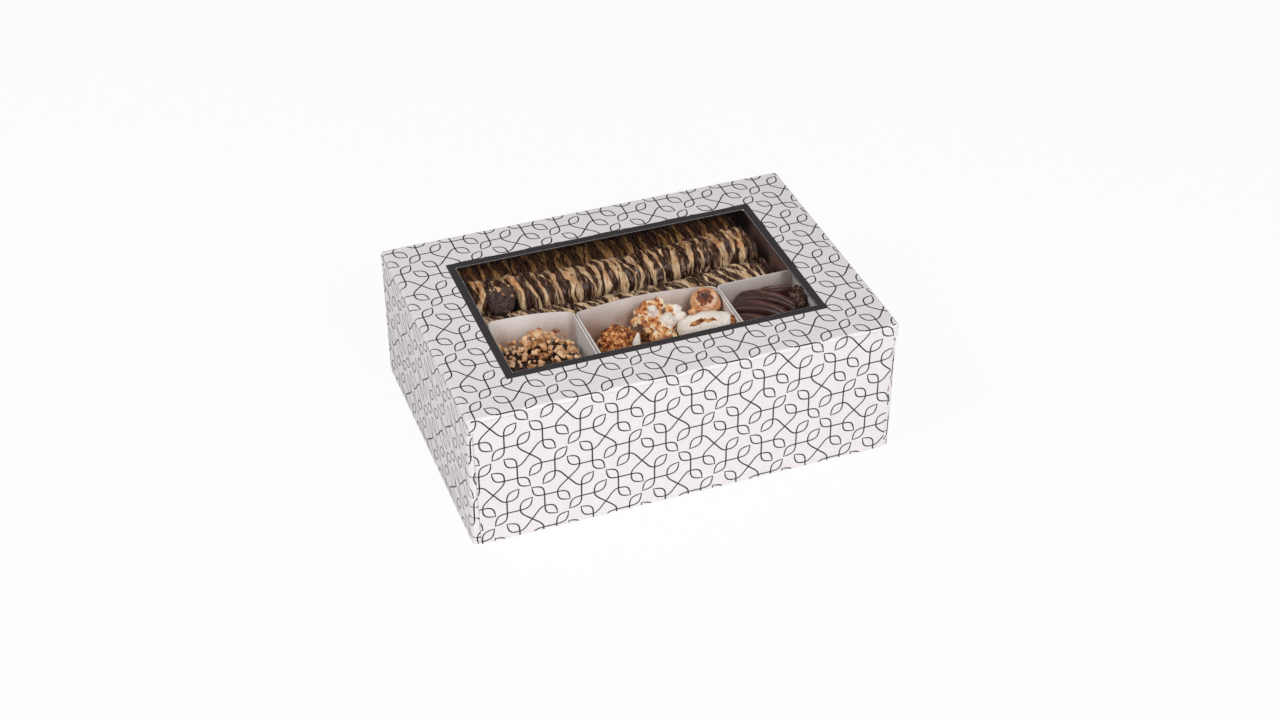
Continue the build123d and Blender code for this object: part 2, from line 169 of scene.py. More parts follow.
# Dark brown card of the back tray; its darkness is partly painted shade from the lid above it
shaded_brown_card = finish(
    "shaded_brown_card", [(0.3, (0.20, 0.10, 0.07)), (0.7, (0.28, 0.155, 0.115))], 500, 0.6,
    bump_scale=1800, bump_strength=0.15, bump_distance=0.0001,
)


# Painted shade and painted warm reflection on the white trays: where it starts and is full towards the back,
# and down from the rim
painted_shade_colour = (0.43, 0.255, 0.175)
painted_shade_front = -0.014
painted_shade_back = -0.004
painted_shade_top = 0.1000
painted_shade_foot = 0.080
painted_shade_patch_scale = 45
painted_shade_patch_stops = [(0.30, (0.55, 0.55, 0.55)), (0.65, (1, 1, 1))]


def add_painted_shade(made):
    """Card painted darker and browner towards the back and down the wall, as shade and as reflected colour
    of the sweets.
    """
    tree = made.node_tree
    shader = tree.nodes["Principled BSDF"]
    places = next(node for node in tree.nodes if node.type == "TEX_COORD")
    unshaded = shader.inputs["Base Color"].links[0].from_socket
    axes = tree.nodes.new("ShaderNodeSeparateXYZ")
    tree.links.new(places.outputs["Object"], axes.inputs["Vector"])
    patches = grain(tree, places, painted_shade_patch_scale, detail=2.0)
    cloud = ramp(tree, patches.outputs[0], painted_shade_patch_stops)
    amount = cloud.outputs["Color"]
    for axis, start, end in (("Y", painted_shade_front, painted_shade_back), ("Z", painted_shade_top, painted_shade_foot)):
        spread = tree.nodes.new("ShaderNodeMapRange")
        spread.inputs["From Min"].default_value = start
        spread.inputs["From Max"].default_value = end
        tree.links.new(axes.outputs[axis], spread.inputs["Value"])
        product = tree.nodes.new("ShaderNodeMath")
        product.operation = "MULTIPLY"
        tree.links.new(amount, product.inputs[0])
        tree.links.new(spread.outputs["Result"], product.inputs[1])
        amount = product.outputs["Value"]
    mix = tree.nodes.new("ShaderNodeMix")
    mix.data_type = "RGBA"
    tree.links.new(amount, mix.inputs["Factor"])
    tree.links.new(unshaded, mix.inputs["A"])
    mix.inputs["B"].default_value = (*painted_shade_colour, 1)
    tree.links.new(mix.outputs["Result"], shader.inputs["Base Color"])


# Painted shade: the tray card turns darker and browner towards the back walls and down them
add_painted_shade(white_card)
dark_chocolate = finish(
    "dark_chocolate", [(0.3, (0.012, 0.005, 0.0035)), (0.7, (0.040, 0.017, 0.010))], 180, 0.28,
    bump_scale=500, bump_strength=0.35, bump_distance=0.0006,
)
toffee = finish(
    "toffee", [(0.3, (0.12, 0.025, 0.008)), (0.7, (0.32, 0.085, 0.025))], 260, 0.3,
    bump_scale=900, bump_strength=0.4, bump_distance=0.0006,
)
chopped_nut = finish(
    "chopped_nut",
    [(0.38, (0.30, 0.10, 0.032)), (0.46, (0.66, 0.32, 0.13)), (0.58, (0.94, 0.64, 0.37))],
    110, 0.4, bump_scale=1100, bump_strength=0.35, bump_distance=0.0005,
)
caramel_crumb = finish(
    "caramel_crumb",
    [
        (0.34, (0.40, 0.095, 0.020)), (0.42, (0.80, 0.36, 0.11)),
        (0.50, (0.97, 0.65, 0.33)), (0.60, (1.0, 0.86, 0.64)),
    ],
    170, 0.3, bump_scale=900, bump_strength=0.6, bump_distance=0.0008,
)
brown_crumb = finish(
    "brown_crumb",
    [
        (0.39, (0.05, 0.008, 0.001)), (0.46, (0.29, 0.068, 0.009)),
        (0.54, (0.64, 0.21, 0.036)), (0.62, (0.98, 0.58, 0.25)),
    ],
    300, 0.3, bump_scale=1300, bump_strength=0.7, bump_distance=0.001,
)
amber_crumb = finish(
    "amber_crumb", [(0.36, (0.20, 0.040, 0.010)), (0.50, (0.50, 0.145, 0.034)), (0.64, (0.80, 0.38, 0.13))],
    330, 0.25, bump_scale=900, bump_strength=0.6, bump_distance=0.0008,
)
white_chocolate = finish(
    "white_chocolate", [(0.3, (0.84, 0.72, 0.62)), (0.6, (0.97, 0.89, 0.81))], 90, 0.35,
    bump_scale=420, bump_strength=0.3, bump_distance=0.0008,
)
milk_chocolate = finish(
    "milk_chocolate", [(0.3, (0.030, 0.009, 0.006)), (0.7, (0.075, 0.023, 0.016))], 160, 0.35,
    bump_scale=600, bump_strength=0.3, bump_distance=0.0005,
)
# Paler chocolate painted on the sticks' upward ridge as a highlight
ridge_highlight_chocolate = finish(
    "ridge_highlight_chocolate", [(0.3, (0.085, 0.030, 0.020)), (0.7, (0.20, 0.085, 0.055))], 220, 0.4,
    bump_scale=700, bump_strength=0.3, bump_distance=0.0004,
)


# Fine layers on the edge of a slice, in features per metre, and toasted patches near its top
layer_scale_across = 800
layer_scale_along = 110
layer_relief = 0.0006
layer_relief_strength = 0.5
slice_gloss = 0.3
toast_patch_scale = 170
toast_patch_stops = [(0.40, (0, 0, 0)), (0.60, (1, 1, 1))]
toasted_from = 0.086
toasted_at = 0.096


def layered_finish(name, stops, tip_colour, roughness):
    """A finish with fine layers across X, as on the edge of a slice, and toasted towards the row's ridge."""
    made = bpy.data.materials.new(name)
    made.use_nodes = True
    tree, shader, places = node_group(made)
    stretch = tree.nodes.new("ShaderNodeMapping")
    stretch.inputs["Scale"].default_value = (layer_scale_across, layer_scale_along, layer_scale_along)
    tree.links.new(places.outputs["Object"], stretch.inputs["Vector"])
    layers = tree.nodes.new("ShaderNodeTexNoise")
    layers.inputs["Scale"].default_value = 1.0
    layers.inputs["Detail"].default_value = 5.0
    layers.inputs["Roughness"].default_value = 0.6
    tree.links.new(stretch.outputs["Vector"], layers.inputs["Vector"])
    under = ramp(tree, layers.outputs[0], stops)
    patches = grain(tree, places, toast_patch_scale, detail=3.0)
    spots = ramp(tree, patches.outputs[0], toast_patch_stops)
    axes = tree.nodes.new("ShaderNodeSeparateXYZ")
    tree.links.new(places.outputs["Object"], axes.inputs["Vector"])
    height = tree.nodes.new("ShaderNodeMapRange")
    height.inputs["From Min"].default_value = toasted_from
    height.inputs["From Max"].default_value = toasted_at
    tree.links.new(axes.outputs["Z"], height.inputs["Value"])
    toasted = tree.nodes.new("ShaderNodeMath")
    toasted.operation = "MULTIPLY"
    tree.links.new(spots.outputs["Color"], toasted.inputs[0])
    tree.links.new(height.outputs["Result"], toasted.inputs[1])
    mix = tree.nodes.new("ShaderNodeMix")
    mix.data_type = "RGBA"
    tree.links.new(toasted.outputs["Value"], mix.inputs["Factor"])
    tree.links.new(under.outputs["Color"], mix.inputs["A"])
    mix.inputs["B"].default_value = (*tip_colour, 1)
    tree.links.new(mix.outputs["Result"], shader.inputs["Base Color"])
    shader.inputs["Roughness"].default_value = roughness
    shader.inputs["Specular IOR Level"].default_value = slice_gloss
    bump(tree, shader, layers.outputs[0], layer_relief_strength, layer_relief)
    return made


slice_dark = layered_finish(
    "slice_dark",
    [
        (0.38, (0.012, 0.004, 0.0025)), (0.49, (0.052, 0.018, 0.009)),
        (0.57, (0.16, 0.080, 0.050)), (0.66, (0.46, 0.30, 0.19)),
    ],
    (0.045, 0.015, 0.006), 0.32,
)
slice_cream = layered_finish(
    "slice_cream",
    [(0.34, (0.16, 0.080, 0.034)), (0.43, (0.54, 0.34, 0.17)), (0.60, (0.90, 0.68, 0.44))],
    (0.56, 0.22, 0.070), 0.5,
)
# Rear row finishes: darker copies of the slice finishes, painted shade of the row that lies under the lid's
# back band
shaded_rear_dark = layered_finish(
    "shaded_rear_dark",
    [(0.40, (0.022, 0.008, 0.004)), (0.52, (0.075, 0.028, 0.014)), (0.64, (0.20, 0.095, 0.045))],
    (0.26, 0.085, 0.022), 0.4,
)
shaded_rear_cream = layered_finish(
    "shaded_rear_cream",
    [(0.36, (0.10, 0.042, 0.014)), (0.5, (0.30, 0.150, 0.050)), (0.64, (0.62, 0.34, 0.12))],
    (0.50, 0.17, 0.045), 0.5,
)


# How much finer the colours inside the patches of a dusted finish are than the patches
dust_grain_share = 4


def dusted(base, name, dust_stops, scale, low, high):
    """A copy of a finish with irregular patches of another colour over it."""
    made = base.copy()
    made.name = name
    tree = made.node_tree
    shader = tree.nodes["Principled BSDF"]
    places = next(node for node in tree.nodes if node.type == "TEX_COORD")
    under = shader.inputs["Base Color"].links[0].from_socket
    patches = grain(tree, places, scale, detail=6.0, roughness=0.65, distortion=0.6)
    amount = ramp(tree, patches.outputs[0], [(low, (0, 0, 0)), (high, (1, 1, 1))])
    dust = ramp(tree, grain(tree, places, scale * dust_grain_share).outputs[0], dust_stops)
    mix = tree.nodes.new("ShaderNodeMix")
    mix.data_type = "RGBA"
    tree.links.new(amount.outputs["Color"], mix.inputs["Factor"])
    tree.links.new(under, mix.inputs["A"])
    tree.links.new(dust.outputs["Color"], mix.inputs["B"])
    tree.links.new(mix.outputs["Result"], shader.inputs["Base Color"])
    return made


film_opacity = 0.03
film_roughness = 0.08
film_gloss = 0.6
film_grain_scale = 20
film_tints = [(0.3, (0.02, 0.02, 0.025)), (0.7, (0.04, 0.04, 0.045))]


def film_finish():
    """Clear film: mostly see-through, with a glossy surface."""
    made = bpy.data.materials.new("clear_film")
    made.use_nodes = True
    tree, shader, places = node_group(made)
    shader.inputs["Roughness"].default_value = film_roughness
    shader.inputs["Alpha"].default_value = film_opacity
    shader.inputs["Specular IOR Level"].default_value = film_gloss
    tint = ramp(tree, grain(tree, places, film_grain_scale).outputs[0], film_tints)
    tree.links.new(tint.outputs["Color"], shader.inputs["Base Color"])
    made.surface_render_method = "BLENDED"
    return made


clear_film = film_finish()


def smooth_step(value, low, high):
    """Zero below low, one above high, and a smooth rise between them."""
    share = min(1.0, max(0.0, (value - low) / (high - low)))
    return share * share * (3 - 2 * share)


def add_part(bm, part):
    """Adds a finished part to the bmesh of its piece."""
    mesh = bpy.data.meshes.new("part")
    part.to_mesh(mesh)
    part.free()
    bm.from_mesh(mesh)
    bpy.data.meshes.remove(mesh)


def make_piece(name, bm, finishes, body, replaced=()):
    """Turns a bmesh into a shaded piece of the object that rides on a body."""
    mesh = bpy.data.meshes.new(name)
    bm.normal_update()
    bm.to_mesh(mesh)
    bm.free()
    for one in finishes:
        mesh.materials.append(one)
    piece = bpy.data.objects.new(name, mesh)
    bpy.context.scene.collection.objects.link(piece)
    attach(piece, body)
    if replaced:
        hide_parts(*replaced)
    return piece


def smooth_shade(piece, angle=radians(40)):
    """Rounded shading, with edges sharper than the angle kept."""
    piece.data.shade_smooth()
    piece.data.set_sharp_from_angle(angle=angle)


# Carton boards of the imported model
for name in ("lid_panel", "front_flap", "left_flap", "right_flap", "base_tray"):
    nodes[name].data.materials.clear()
    nodes[name].data.materials.append(printed_board)
for name in ("raised_floor", "left_spacer", "right_spacer"):
    nodes[name].data.materials.clear()
    nodes[name].data.materials.append(plain_board)
nodes["window_film"].data.materials.clear()
nodes["window_film"].data.materials.append(clear_film)


# Line ornament on the unfolded sheet: U to the right and V to the back, zero at the middle of the lid
def add_link(curve, start, side, steps, turns_across_first):
    """One link of the trellis, from a crossing to the next one below it, with a leaf at each corner."""
    across, down = Vector((side, 0, 0)), Vector((0, -1, 0))
    ways = [across, down, across, down] if turns_across_first else [down, across, down, across]
    slant = (across + down) / sqrt(2)
    corners = [start]
    for step_across, step_down in steps:
        corners.append(corners[-1] + across * step_across + down * step_down)
    points = [(start, start - slant * stem_handle, start + slant * stem_handle)]
    for number in range(3):
        corner, enter, leave = corners[number + 1], ways[number], ways[number + 1]
        before = stem_handle if number == 0 else (corner - corners[number]).length / 3
        after = stem_handle if number == 2 else (corners[number + 2] - corner).length / 3
        axis = (enter - leave) / sqrt(2)
        aside = (enter + leave) / sqrt(2)
        tip = corner + axis * leaf_length
        back = -axis * cos(leaf_tip_angle) * leaf_tip_handle
        swing = aside * sin(leaf_tip_angle) * leaf_tip_handle
        points.append((corner, corner - enter * before, corner + enter * leaf_foot_handle))
        points.append((tip, tip + back + swing, tip + back - swing))
        points.append((corner, corner - leave * leaf_foot_handle, corner + leave * after))
    end = corners[-1]
    points.append((end, end - slant * stem_handle, end + slant * stem_handle))
    spline = curve.splines.new("BEZIER")
    spline.bezier_points.add(len(points) - 1)
    for knot, (place, handle_in, handle_out) in zip(spline.bezier_points, points):
        knot.handle_left_type = knot.handle_right_type = "FREE"
        knot.co, knot.handle_left, knot.handle_right = place, handle_in, handle_out


def trellis_mesh(low, high):
    """Flat ink lines of the trellis over a rectangle of the sheet, as a bmesh."""
    curve = bpy.data.curves.new("trellis", "CURVE")
    curve.dimensions = "3D"
    curve.resolution_u = curve_steps
    curve.bevel_depth = ink_width / 2
    curve.bevel_resolution = 0
    curve.use_fill_caps = True
    reach_u, reach_v = trellis_width / 2 + leaf_length, trellis_height / 2
    first_row = int((trellis_origin[1] - high[1]) / reach_v) - 2
    last_row = int((trellis_origin[1] - low[1]) / reach_v) + 2
    for row in range(first_row, last_row + 1):
        v = trellis_origin[1] - row * reach_v
        shift = (row % 2) * trellis_width / 2
        first = int((low[0] - trellis_origin[0] - shift) / trellis_width) - 2
        last = int((high[0] - trellis_origin[0] - shift) / trellis_width) + 2
        for column in range(first, last + 1):
            u = trellis_origin[0] + shift + column * trellis_width
            if not low[0] - 2 * reach_u < u < high[0] + 2 * reach_u:
                continue
            if v + leaf_length < low[1] or v - reach_v - leaf_length > high[1]:
                continue
            start = Vector((u, v, 0))
            right_first, left_first = (True, False) if row % 2 == 0 else (False, True)
            for side, across_first in ((1, right_first), (-1, left_first)):
                steps = across_first_steps if across_first else down_first_steps
                add_link(curve, start, side, steps, across_first)
    lines = bpy.data.objects.new("trellis", curve)
    bpy.context.scene.collection.objects.link(lines)
    mesh = bpy.data.meshes.new_from_object(lines.evaluated_get(bpy.context.evaluated_depsgraph_get()))
    bpy.data.objects.remove(lines)
    bpy.data.curves.remove(curve)
    bm = bmesh.new()
    bm.from_mesh(mesh)
    bpy.data.meshes.remove(mesh)
    bmesh.ops.scale(bm, vec=(1, 1, 2 * ink_height / ink_width), verts=bm.verts)
    return bm


def cut(bm, point, normal, clear=True):
    """Cuts the bmesh at a plane, drops what lies beyond it and closes the cut ends."""
    everything = bm.verts[:] + bm.edges[:] + bm.faces[:]
    made = bmesh.ops.bisect_plane(
        bm, geom=everything, dist=cut_tolerance, plane_co=point, plane_no=normal, clear_outer=clear
    )
    if clear:
        edges = [edge for edge in made["geom_cut"] if isinstance(edge, bmesh.types.BMEdge)]
        bmesh.ops.holes_fill(bm, edges=edges, sides=0)


def over_fold(distance, height, radius):
    """How far out and down a point of the sheet lies, past the start of a rounded fold."""
    arc = radius * pi / 2
    if distance <= 0:
        return distance, -height
    if distance < arc:
        turn = distance / radius
        return (radius + height) * sin(turn), radius - (radius + height) * cos(turn)
    return radius + height, radius + distance - arc


lid_half_width = lid_high.x
lid_half_depth = lid_high.y
top_level = lid_high.z
flat_half_width = lid_half_width - top_fold_radius
flat_half_depth = lid_half_depth - top_fold_radius
fold_arc = top_fold_radius * pi / 2
to_crease = fold_arc + crease_drop - top_fold_radius
to_flap = to_crease + crease_gap
side_layer = board + layer_gap
window_half_width = film_high.x - film_lap
window_half_depth = film_high.y - film_lap
band_half_width = window_half_width + band_width
band_half_depth = window_half_depth + band_width


def along_level(level):
    """Distance past the start of the fold of a point on an upright panel at this level."""
    return fold_arc + top_level - top_fold_radius - level


def place_on_carton(point, side):
    """Folds a point of the sheet over the carton's edge at one side: front, back, left or right."""
    u, v, height = point
    if side in ("front", "back"):
        sign = -1 if side == "front" else 1
        out, down = over_fold(sign * v - flat_half_depth, height, top_fold_radius)
        return Vector((u, sign * (flat_half_depth + out), top_level - down))
    sign = -1 if side == "left" else 1
    out, down = over_fold(sign * u - flat_half_width, height, top_fold_radius)
    front_line = -(lid_half_depth - side_layer - ear_fold_radius)
    if down < crease_drop or v > front_line:
        return Vector((sign * (flat_half_width + out), v, top_level - down))
    forward, inward = over_fold(front_line - v, height, ear_fold_radius)
    return Vector((sign * (lid_half_width - inward), front_line - forward, top_level - down))


def ink_region(bm, low, high, side, slants=(), folds=()):
    """Adds the ornament over one rectangle of the sheet to a bmesh, cut to its outline and folded."""
    lines = trellis_mesh(low, high)
    cut(lines, (low[0], 0, 0), (-1, 0, 0))
    cut(lines, (high[0], 0, 0), (1, 0, 0))
    cut(lines, (0, low[1], 0), (0, -1, 0))
    cut(lines, (0, high[1], 0), (0, 1, 0))
    for point, normal in slants:
        cut(lines, point, normal)
    for point, normal in folds:
        cut(lines, point, normal, clear=False)
    for vertex in lines.verts:
        vertex.co = place_on_carton(vertex.co, side)
    bmesh.ops.recalc_face_normals(lines, faces=lines.faces)
    add_part(bm, lines)


def fold_cuts(axis, sign, start, radius):
    """Planes across a rounded fold, so that the ink bends with it."""
    cuts = []
    for number in range(fold_steps + 1):
        place = start + radius * pi / 2 * number / fold_steps
        point = (sign * place, 0, 0) if axis == 0 else (0, sign * place, 0)
        normal = (sign, 0, 0) if axis == 0 else (0, sign, 0)
        cuts.append((point, normal))
    return cuts


def print_lid():
    """Ornament on the top panel, round the band of the window and over the four folds."""
    bm = bmesh.new()
    u_end = flat_half_width + to_crease
    v_end = flat_half_depth + to_crease
    v_side = flat_half_depth - fold_corner_margin
    u_front = flat_half_width - fold_corner_margin
    for sign, side in ((-1, "left"), (1, "right")):
        low_u, high_u = sorted((sign * band_half_width, sign * u_end))
        folds = fold_cuts(0, sign, flat_half_width, top_fold_radius)
        ink_region(bm, (low_u, -v_side), (high_u, v_side), side, folds=folds)
    for sign, side in ((-1, "front"), (1, "back")):
        low_v, high_v = sorted((sign * band_half_depth, sign * v_side))
        ink_region(bm, (-band_half_width, low_v), (band_half_width, high_v), side)
        low_v, high_v = sorted((sign * v_side, sign * v_end))
        folds = fold_cuts(1, sign, flat_half_depth, top_fold_radius)
        ink_region(bm, (-u_front, low_v), (u_front, high_v), side, folds=folds)
    return make_piece("print_on_lid", bm, [ink], "lid")


def print_front():
    """Ornament on the front flap, inside its shoulders and tapered sides."""
    bm = bmesh.new()
    half_top = lid_half_width - flap_top_inset
    shoulder = flap_high.z - shoulder_drop
    waist = lid_half_width - shoulder_inset
    foot = lid_half_width - flap_foot_inset
    top_v = -(flat_half_depth + along_level(flap_high.z))
    shoulder_v = -(flat_half_depth + along_level(shoulder))
    foot_v = -(flat_half_depth + along_level(flap_low.z))
    ink_region(bm, (-half_top, shoulder_v), (half_top, top_v), "front")
    slants = []
    for sign in (-1, 1):
        along = Vector((sign * (foot - waist), foot_v - shoulder_v, 0))
        slants.append(((sign * waist, shoulder_v, 0), (sign * -along.y, -abs(along.x), 0)))
    ink_region(bm, (-waist, foot_v), (waist, shoulder_v), "front", slants=slants)
    return make_piece("print_on_front", bm, [ink], "front_flap")


def print_side(sign, side):
    """Ornament on a side flap and round its fold onto the ear."""
    bm = bmesh.new()
    top_u = flat_half_width + to_flap
    foot_u = flat_half_width + along_level(flap_low.z)
    front_line = lid_half_depth - side_layer - ear_fold_radius
    ear_v = -(front_line + ear_fold_radius * pi / 2 + printed_ear)
    low_u, high_u = sorted((sign * top_u, sign * foot_u))
    folds = fold_cuts(1, -1, front_line, ear_fold_radius)
    ink_region(bm, (low_u, ear_v), (high_u, lid_half_depth), side, folds=folds)
    return make_piece("print_on_" + side, bm, [ink], side + "_flap")


def print_back():
    """Ornament on the back wall of the base."""
    bm = bmesh.new()
    half = base_high.x - (ear_fold_radius - side_layer)
    top_v = flat_half_depth + along_level(base_high.z)
    foot_v = flat_half_depth + along_level(base_low.z + printed_foot_gap)
    ink_region(bm, (-half, top_v), (half, foot_v), "back")
    return make_piece("print_on_back", bm, [ink], "base")


def window_band():
    """Dark printed band round the window and down its cut edge, with a fine white line between the two."""
    bm = bmesh.new()
    bmesh.ops.create_grid(bm, x_segments=1, y_segments=1, size=1)
    bmesh.ops.scale(bm, vec=(band_half_width, band_half_depth, 1), verts=bm.verts)
    middle = bm.faces[:]
    bmesh.ops.inset_region(
        bm, faces=middle, thickness=band_width - band_hairline, use_boundary=True, use_even_offset=True
    )
    bmesh.ops.delete(bm, geom=middle, context="FACES")
    bmesh.ops.translate(bm, vec=(0, 0, top_level), verts=bm.verts)
    extruded = bmesh.ops.extrude_face_region(bm, geom=bm.faces[:])
    raised = [item for item in extruded["geom"] if isinstance(item, bmesh.types.BMVert)]
    bmesh.ops.translate(bm, vec=(0, 0, ink_height), verts=raised)
    bmesh.ops.recalc_face_normals(bm, faces=bm.faces)
    lip = bmesh.new()
    bmesh.ops.create_cube(lip, size=1)
    lip_size = (2 * window_half_width - ink_height, 2 * window_half_depth - ink_height, board - ink_height)
    bmesh.ops.scale(lip, vec=lip_size, verts=lip.verts)
    ends = [face for face in lip.faces if abs(face.normal.z) > 0.5]
    bmesh.ops.delete(lip, geom=ends, context="FACES_ONLY")
    bmesh.ops.translate(lip, vec=(0, 0, top_level - board / 2), verts=lip.verts)
    bmesh.ops.solidify(lip, geom=lip.faces[:], thickness=ink_height)
    add_part(bm, lip)
    return make_piece("window_band", bm, [band_ink], "lid")


print_lid()
print_front()
print_side(-1, "left")
print_side(1, "right")
print_back()
window_band()


# Paper trays: thin card with rounded corners, walls that bow a little and a glued seam
tray_card = 0.0008
tray_corner_radius = 0.004
tray_fold_radius = 0.0015
seam_width = 0.009
seam_card = 0.0004
side_wall_bow = 0.0005
left_wall_lean = 0.0136
left_tray_right_lean = 0.0053
left_corner_draw = 0.0064
middle_wall_bulge = 0.0058
middle_left_lean = 0.0033
bulge_fade = 0.030
corner_fade = 0.045
back_tray_rim_drop = 0.0030
tray_columns = 14
tray_rows = 6
card_cut_tolerance = 1e-6
side_wall_margin = 1e-5
left_tray_low, left_tray_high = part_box("left_tray")
middle_tray_low, middle_tray_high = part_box("middle_tray")


def wall_bulge(x):
    """How far the back walls of the front trays lean back at their rims."""
    if x < left_tray_high.x:
        share = max(0.0, (x - left_tray_low.x) / (left_tray_high.x - left_tray_low.x))
        return left_wall_lean - (left_wall_lean - left_tray_right_lean) * share ** 3
    share = (x - middle_tray_low.x) / (middle_tray_high.x - middle_tray_low.x)
    if share > 1:
        return 0.0
    return middle_left_lean * (1 - share) + middle_wall_bulge * sin(pi * max(0.0, share))


def bulge_push(place, weight):
    """How far a point near the leaning walls is pushed back."""
    rise = max(0.0, place.z - left_tray_low.z) / (left_tray_high.z - left_tray_low.z)
    return wall_bulge(place.x) * rise ** 2 * weight


def slice_through(bm, point, normal):
    """Adds a row of edges where a plane crosses the mesh."""
    everything = bm.verts[:] + bm.edges[:] + bm.faces[:]
    bmesh.ops.bisect_plane(bm, geom=everything, dist=card_cut_tolerance, plane_co=point, plane_no=normal)


def paper_tray(node, rim_drop=0.0):
    """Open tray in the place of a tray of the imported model."""
    low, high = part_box(node)
    high.z -= rim_drop
    centre, size = (low + high) / 2, high - low
    bm = bmesh.new()
    bmesh.ops.create_cube(bm, size=1)
    bmesh.ops.scale(bm, vec=size, verts=bm.verts)
    upright = [edge for edge in bm.edges if abs(edge.verts[0].co.z - edge.verts[1].co.z) > size.z / 2]
    bmesh.ops.bevel(
        bm, geom=upright, offset=tray_corner_radius, segments=4, profile=0.5, affect="EDGES", material=-1
    )
    top = [face for face in bm.faces if face.normal.z > 0.5]
    bmesh.ops.delete(bm, geom=top, context="FACES_ONLY")
    bottom = [edge for edge in bm.edges if max(vertex.co.z for vertex in edge.verts) < 0]
    bmesh.ops.bevel(
        bm, geom=bottom, offset=tray_fold_radius, segments=3, profile=0.5, affect="EDGES", material=-1
    )
    for step in range(1, tray_columns):
        share = step / tray_columns - 0.5
        slice_through(bm, (size.x * share, 0, 0), (1, 0, 0))
        slice_through(bm, (0, size.y * share, 0), (0, 1, 0))
    for step in range(1, tray_rows):
        slice_through(bm, (0, 0, size.z * (step / tray_rows - 0.5)), (0, 0, 1))
    for vertex in bm.verts:
        rise = vertex.co.z / size.z + 0.5
        if abs(vertex.co.x) > size.x / 2 - side_wall_margin:
            inward = side_wall_bow * rise ** 2 * max(0.0, cos(pi * vertex.co.y / size.y)) ** 2
            vertex.co.x -= inward if vertex.co.x > 0 else -inward
        from_front = vertex.co.y + size.y / 2
        if node == "back_tray":
            weight = 1 - smooth_step(from_front, 0, bulge_fade)
        else:
            weight = smooth_step(from_front, size.y - bulge_fade, size.y)
        vertex.co.y += bulge_push(vertex.co + centre, weight)
        if node == "left_tray":
            across_share = vertex.co.x / size.x + 0.5
            near_back = smooth_step(from_front, size.y - corner_fade, size.y)
            vertex.co.x += left_corner_draw * rise ** 2 * near_back * (1 - across_share) ** 2
    bmesh.ops.recalc_face_normals(bm, faces=bm.faces)
    bmesh.ops.solidify(bm, geom=bm.faces[:], thickness=tray_card)
    bmesh.ops.translate(bm, vec=centre, verts=bm.verts)
    seam = bmesh.new()
    bmesh.ops.create_cube(seam, size=1)
    seam_height = size.z - tray_fold_radius * 2
    bmesh.ops.scale(seam, vec=(seam_width, seam_card, seam_height), verts=seam.verts)
    seam_place = (
        high.x - tray_corner_radius - seam_width / 2,
        high.y - tray_card - seam_card / 2,
        high.z - seam_height / 2,
    )
    bmesh.ops.translate(seam, vec=seam_place, verts=seam.verts)
    for step in range(1, tray_rows):
        slice_through(seam, (0, 0, low.z + size.z * step / tray_rows), (0, 0, 1))
    for vertex in seam.verts:
        if node != "back_tray":
            vertex.co.y += bulge_push(vertex.co, 1)
    add_part(bm, seam)
    card = shaded_brown_card if node == "back_tray" else white_card
    tray = make_piece("paper_" + node, bm, [card], "base", [node])
    smooth_shade(tray)


paper_tray("back_tray", back_tray_rim_drop)
for tray_node in ("left_tray", "middle_tray", "right_tray"):
    paper_tray(tray_node)


# Slices on edge: nutty cream layers and dark chocolate layers in turn, with wandering faces and rough rims
slice_segments = 36
slice_soft_edge = 0.06
slice_squareness = 3.2
slice_foot_share = 0.97
layer_wander = 0.0062
wander_scale = 46
wander_step = 0.42
fine_wander = 0.0014
fine_wander_scale = 170
fine_wander_step = 0.6
thinnest_layer = 0.00025
rim_waviness = 0.08
rim_wave_scale = 1.3
rim_wave_step = 0.9
rim_wave_middle = 0.4
rim_roughness = 0.15
rim_rough_scale = 8
rim_rough_step = 2.11
rim_rough_middle = 0.35
thin_cream = (0.0007, 0.0014)
wide_cream = (0.0020, 0.0042)
dark_layer = (0.0011, 0.0026)
wide_cream_chance = 0.62
dark_layer_counts = (1, 2, 2, 3)
end_slab = 0.0062
slice_height_shares = (0.935, 1.0)
layer_height_shares = (0.97, 1.0)
slice_reach_shares = (0.97, 1.0)
row_start_margin = layer_wander / 3
row_end_margin = layer_wander / 4
crest_allowance = 0.0008
slice_edge_angle = radians(55)
layer_gap_in_row = 0.00012
row_dip = 0.0054
row_end_fade = 0.030
front_row_slant = 0.42
front_row_drop = 0.0074
middle_row_slant = 0.10
rear_row_breadth = 1.35
lying_row_seed = 22
rear_row_seed = 47

# Where the slices of the middle row stand back for the turned slice
turned_height_share = 0.93
turned_reach_share = 0.70
turned_back_share = 0.28


def layer_face(y, z, number, seed):
    """How far the face between two layers wanders along X."""
    coarse = noise.noise(Vector((y * wander_scale, z * wander_scale, number * wander_step + seed)))
    drift = number * fine_wander_step + 2 * seed
    fine = noise.noise(Vector((y * fine_wander_scale, z * fine_wander_scale, drift)))
    return layer_wander * coarse + fine_wander * fine


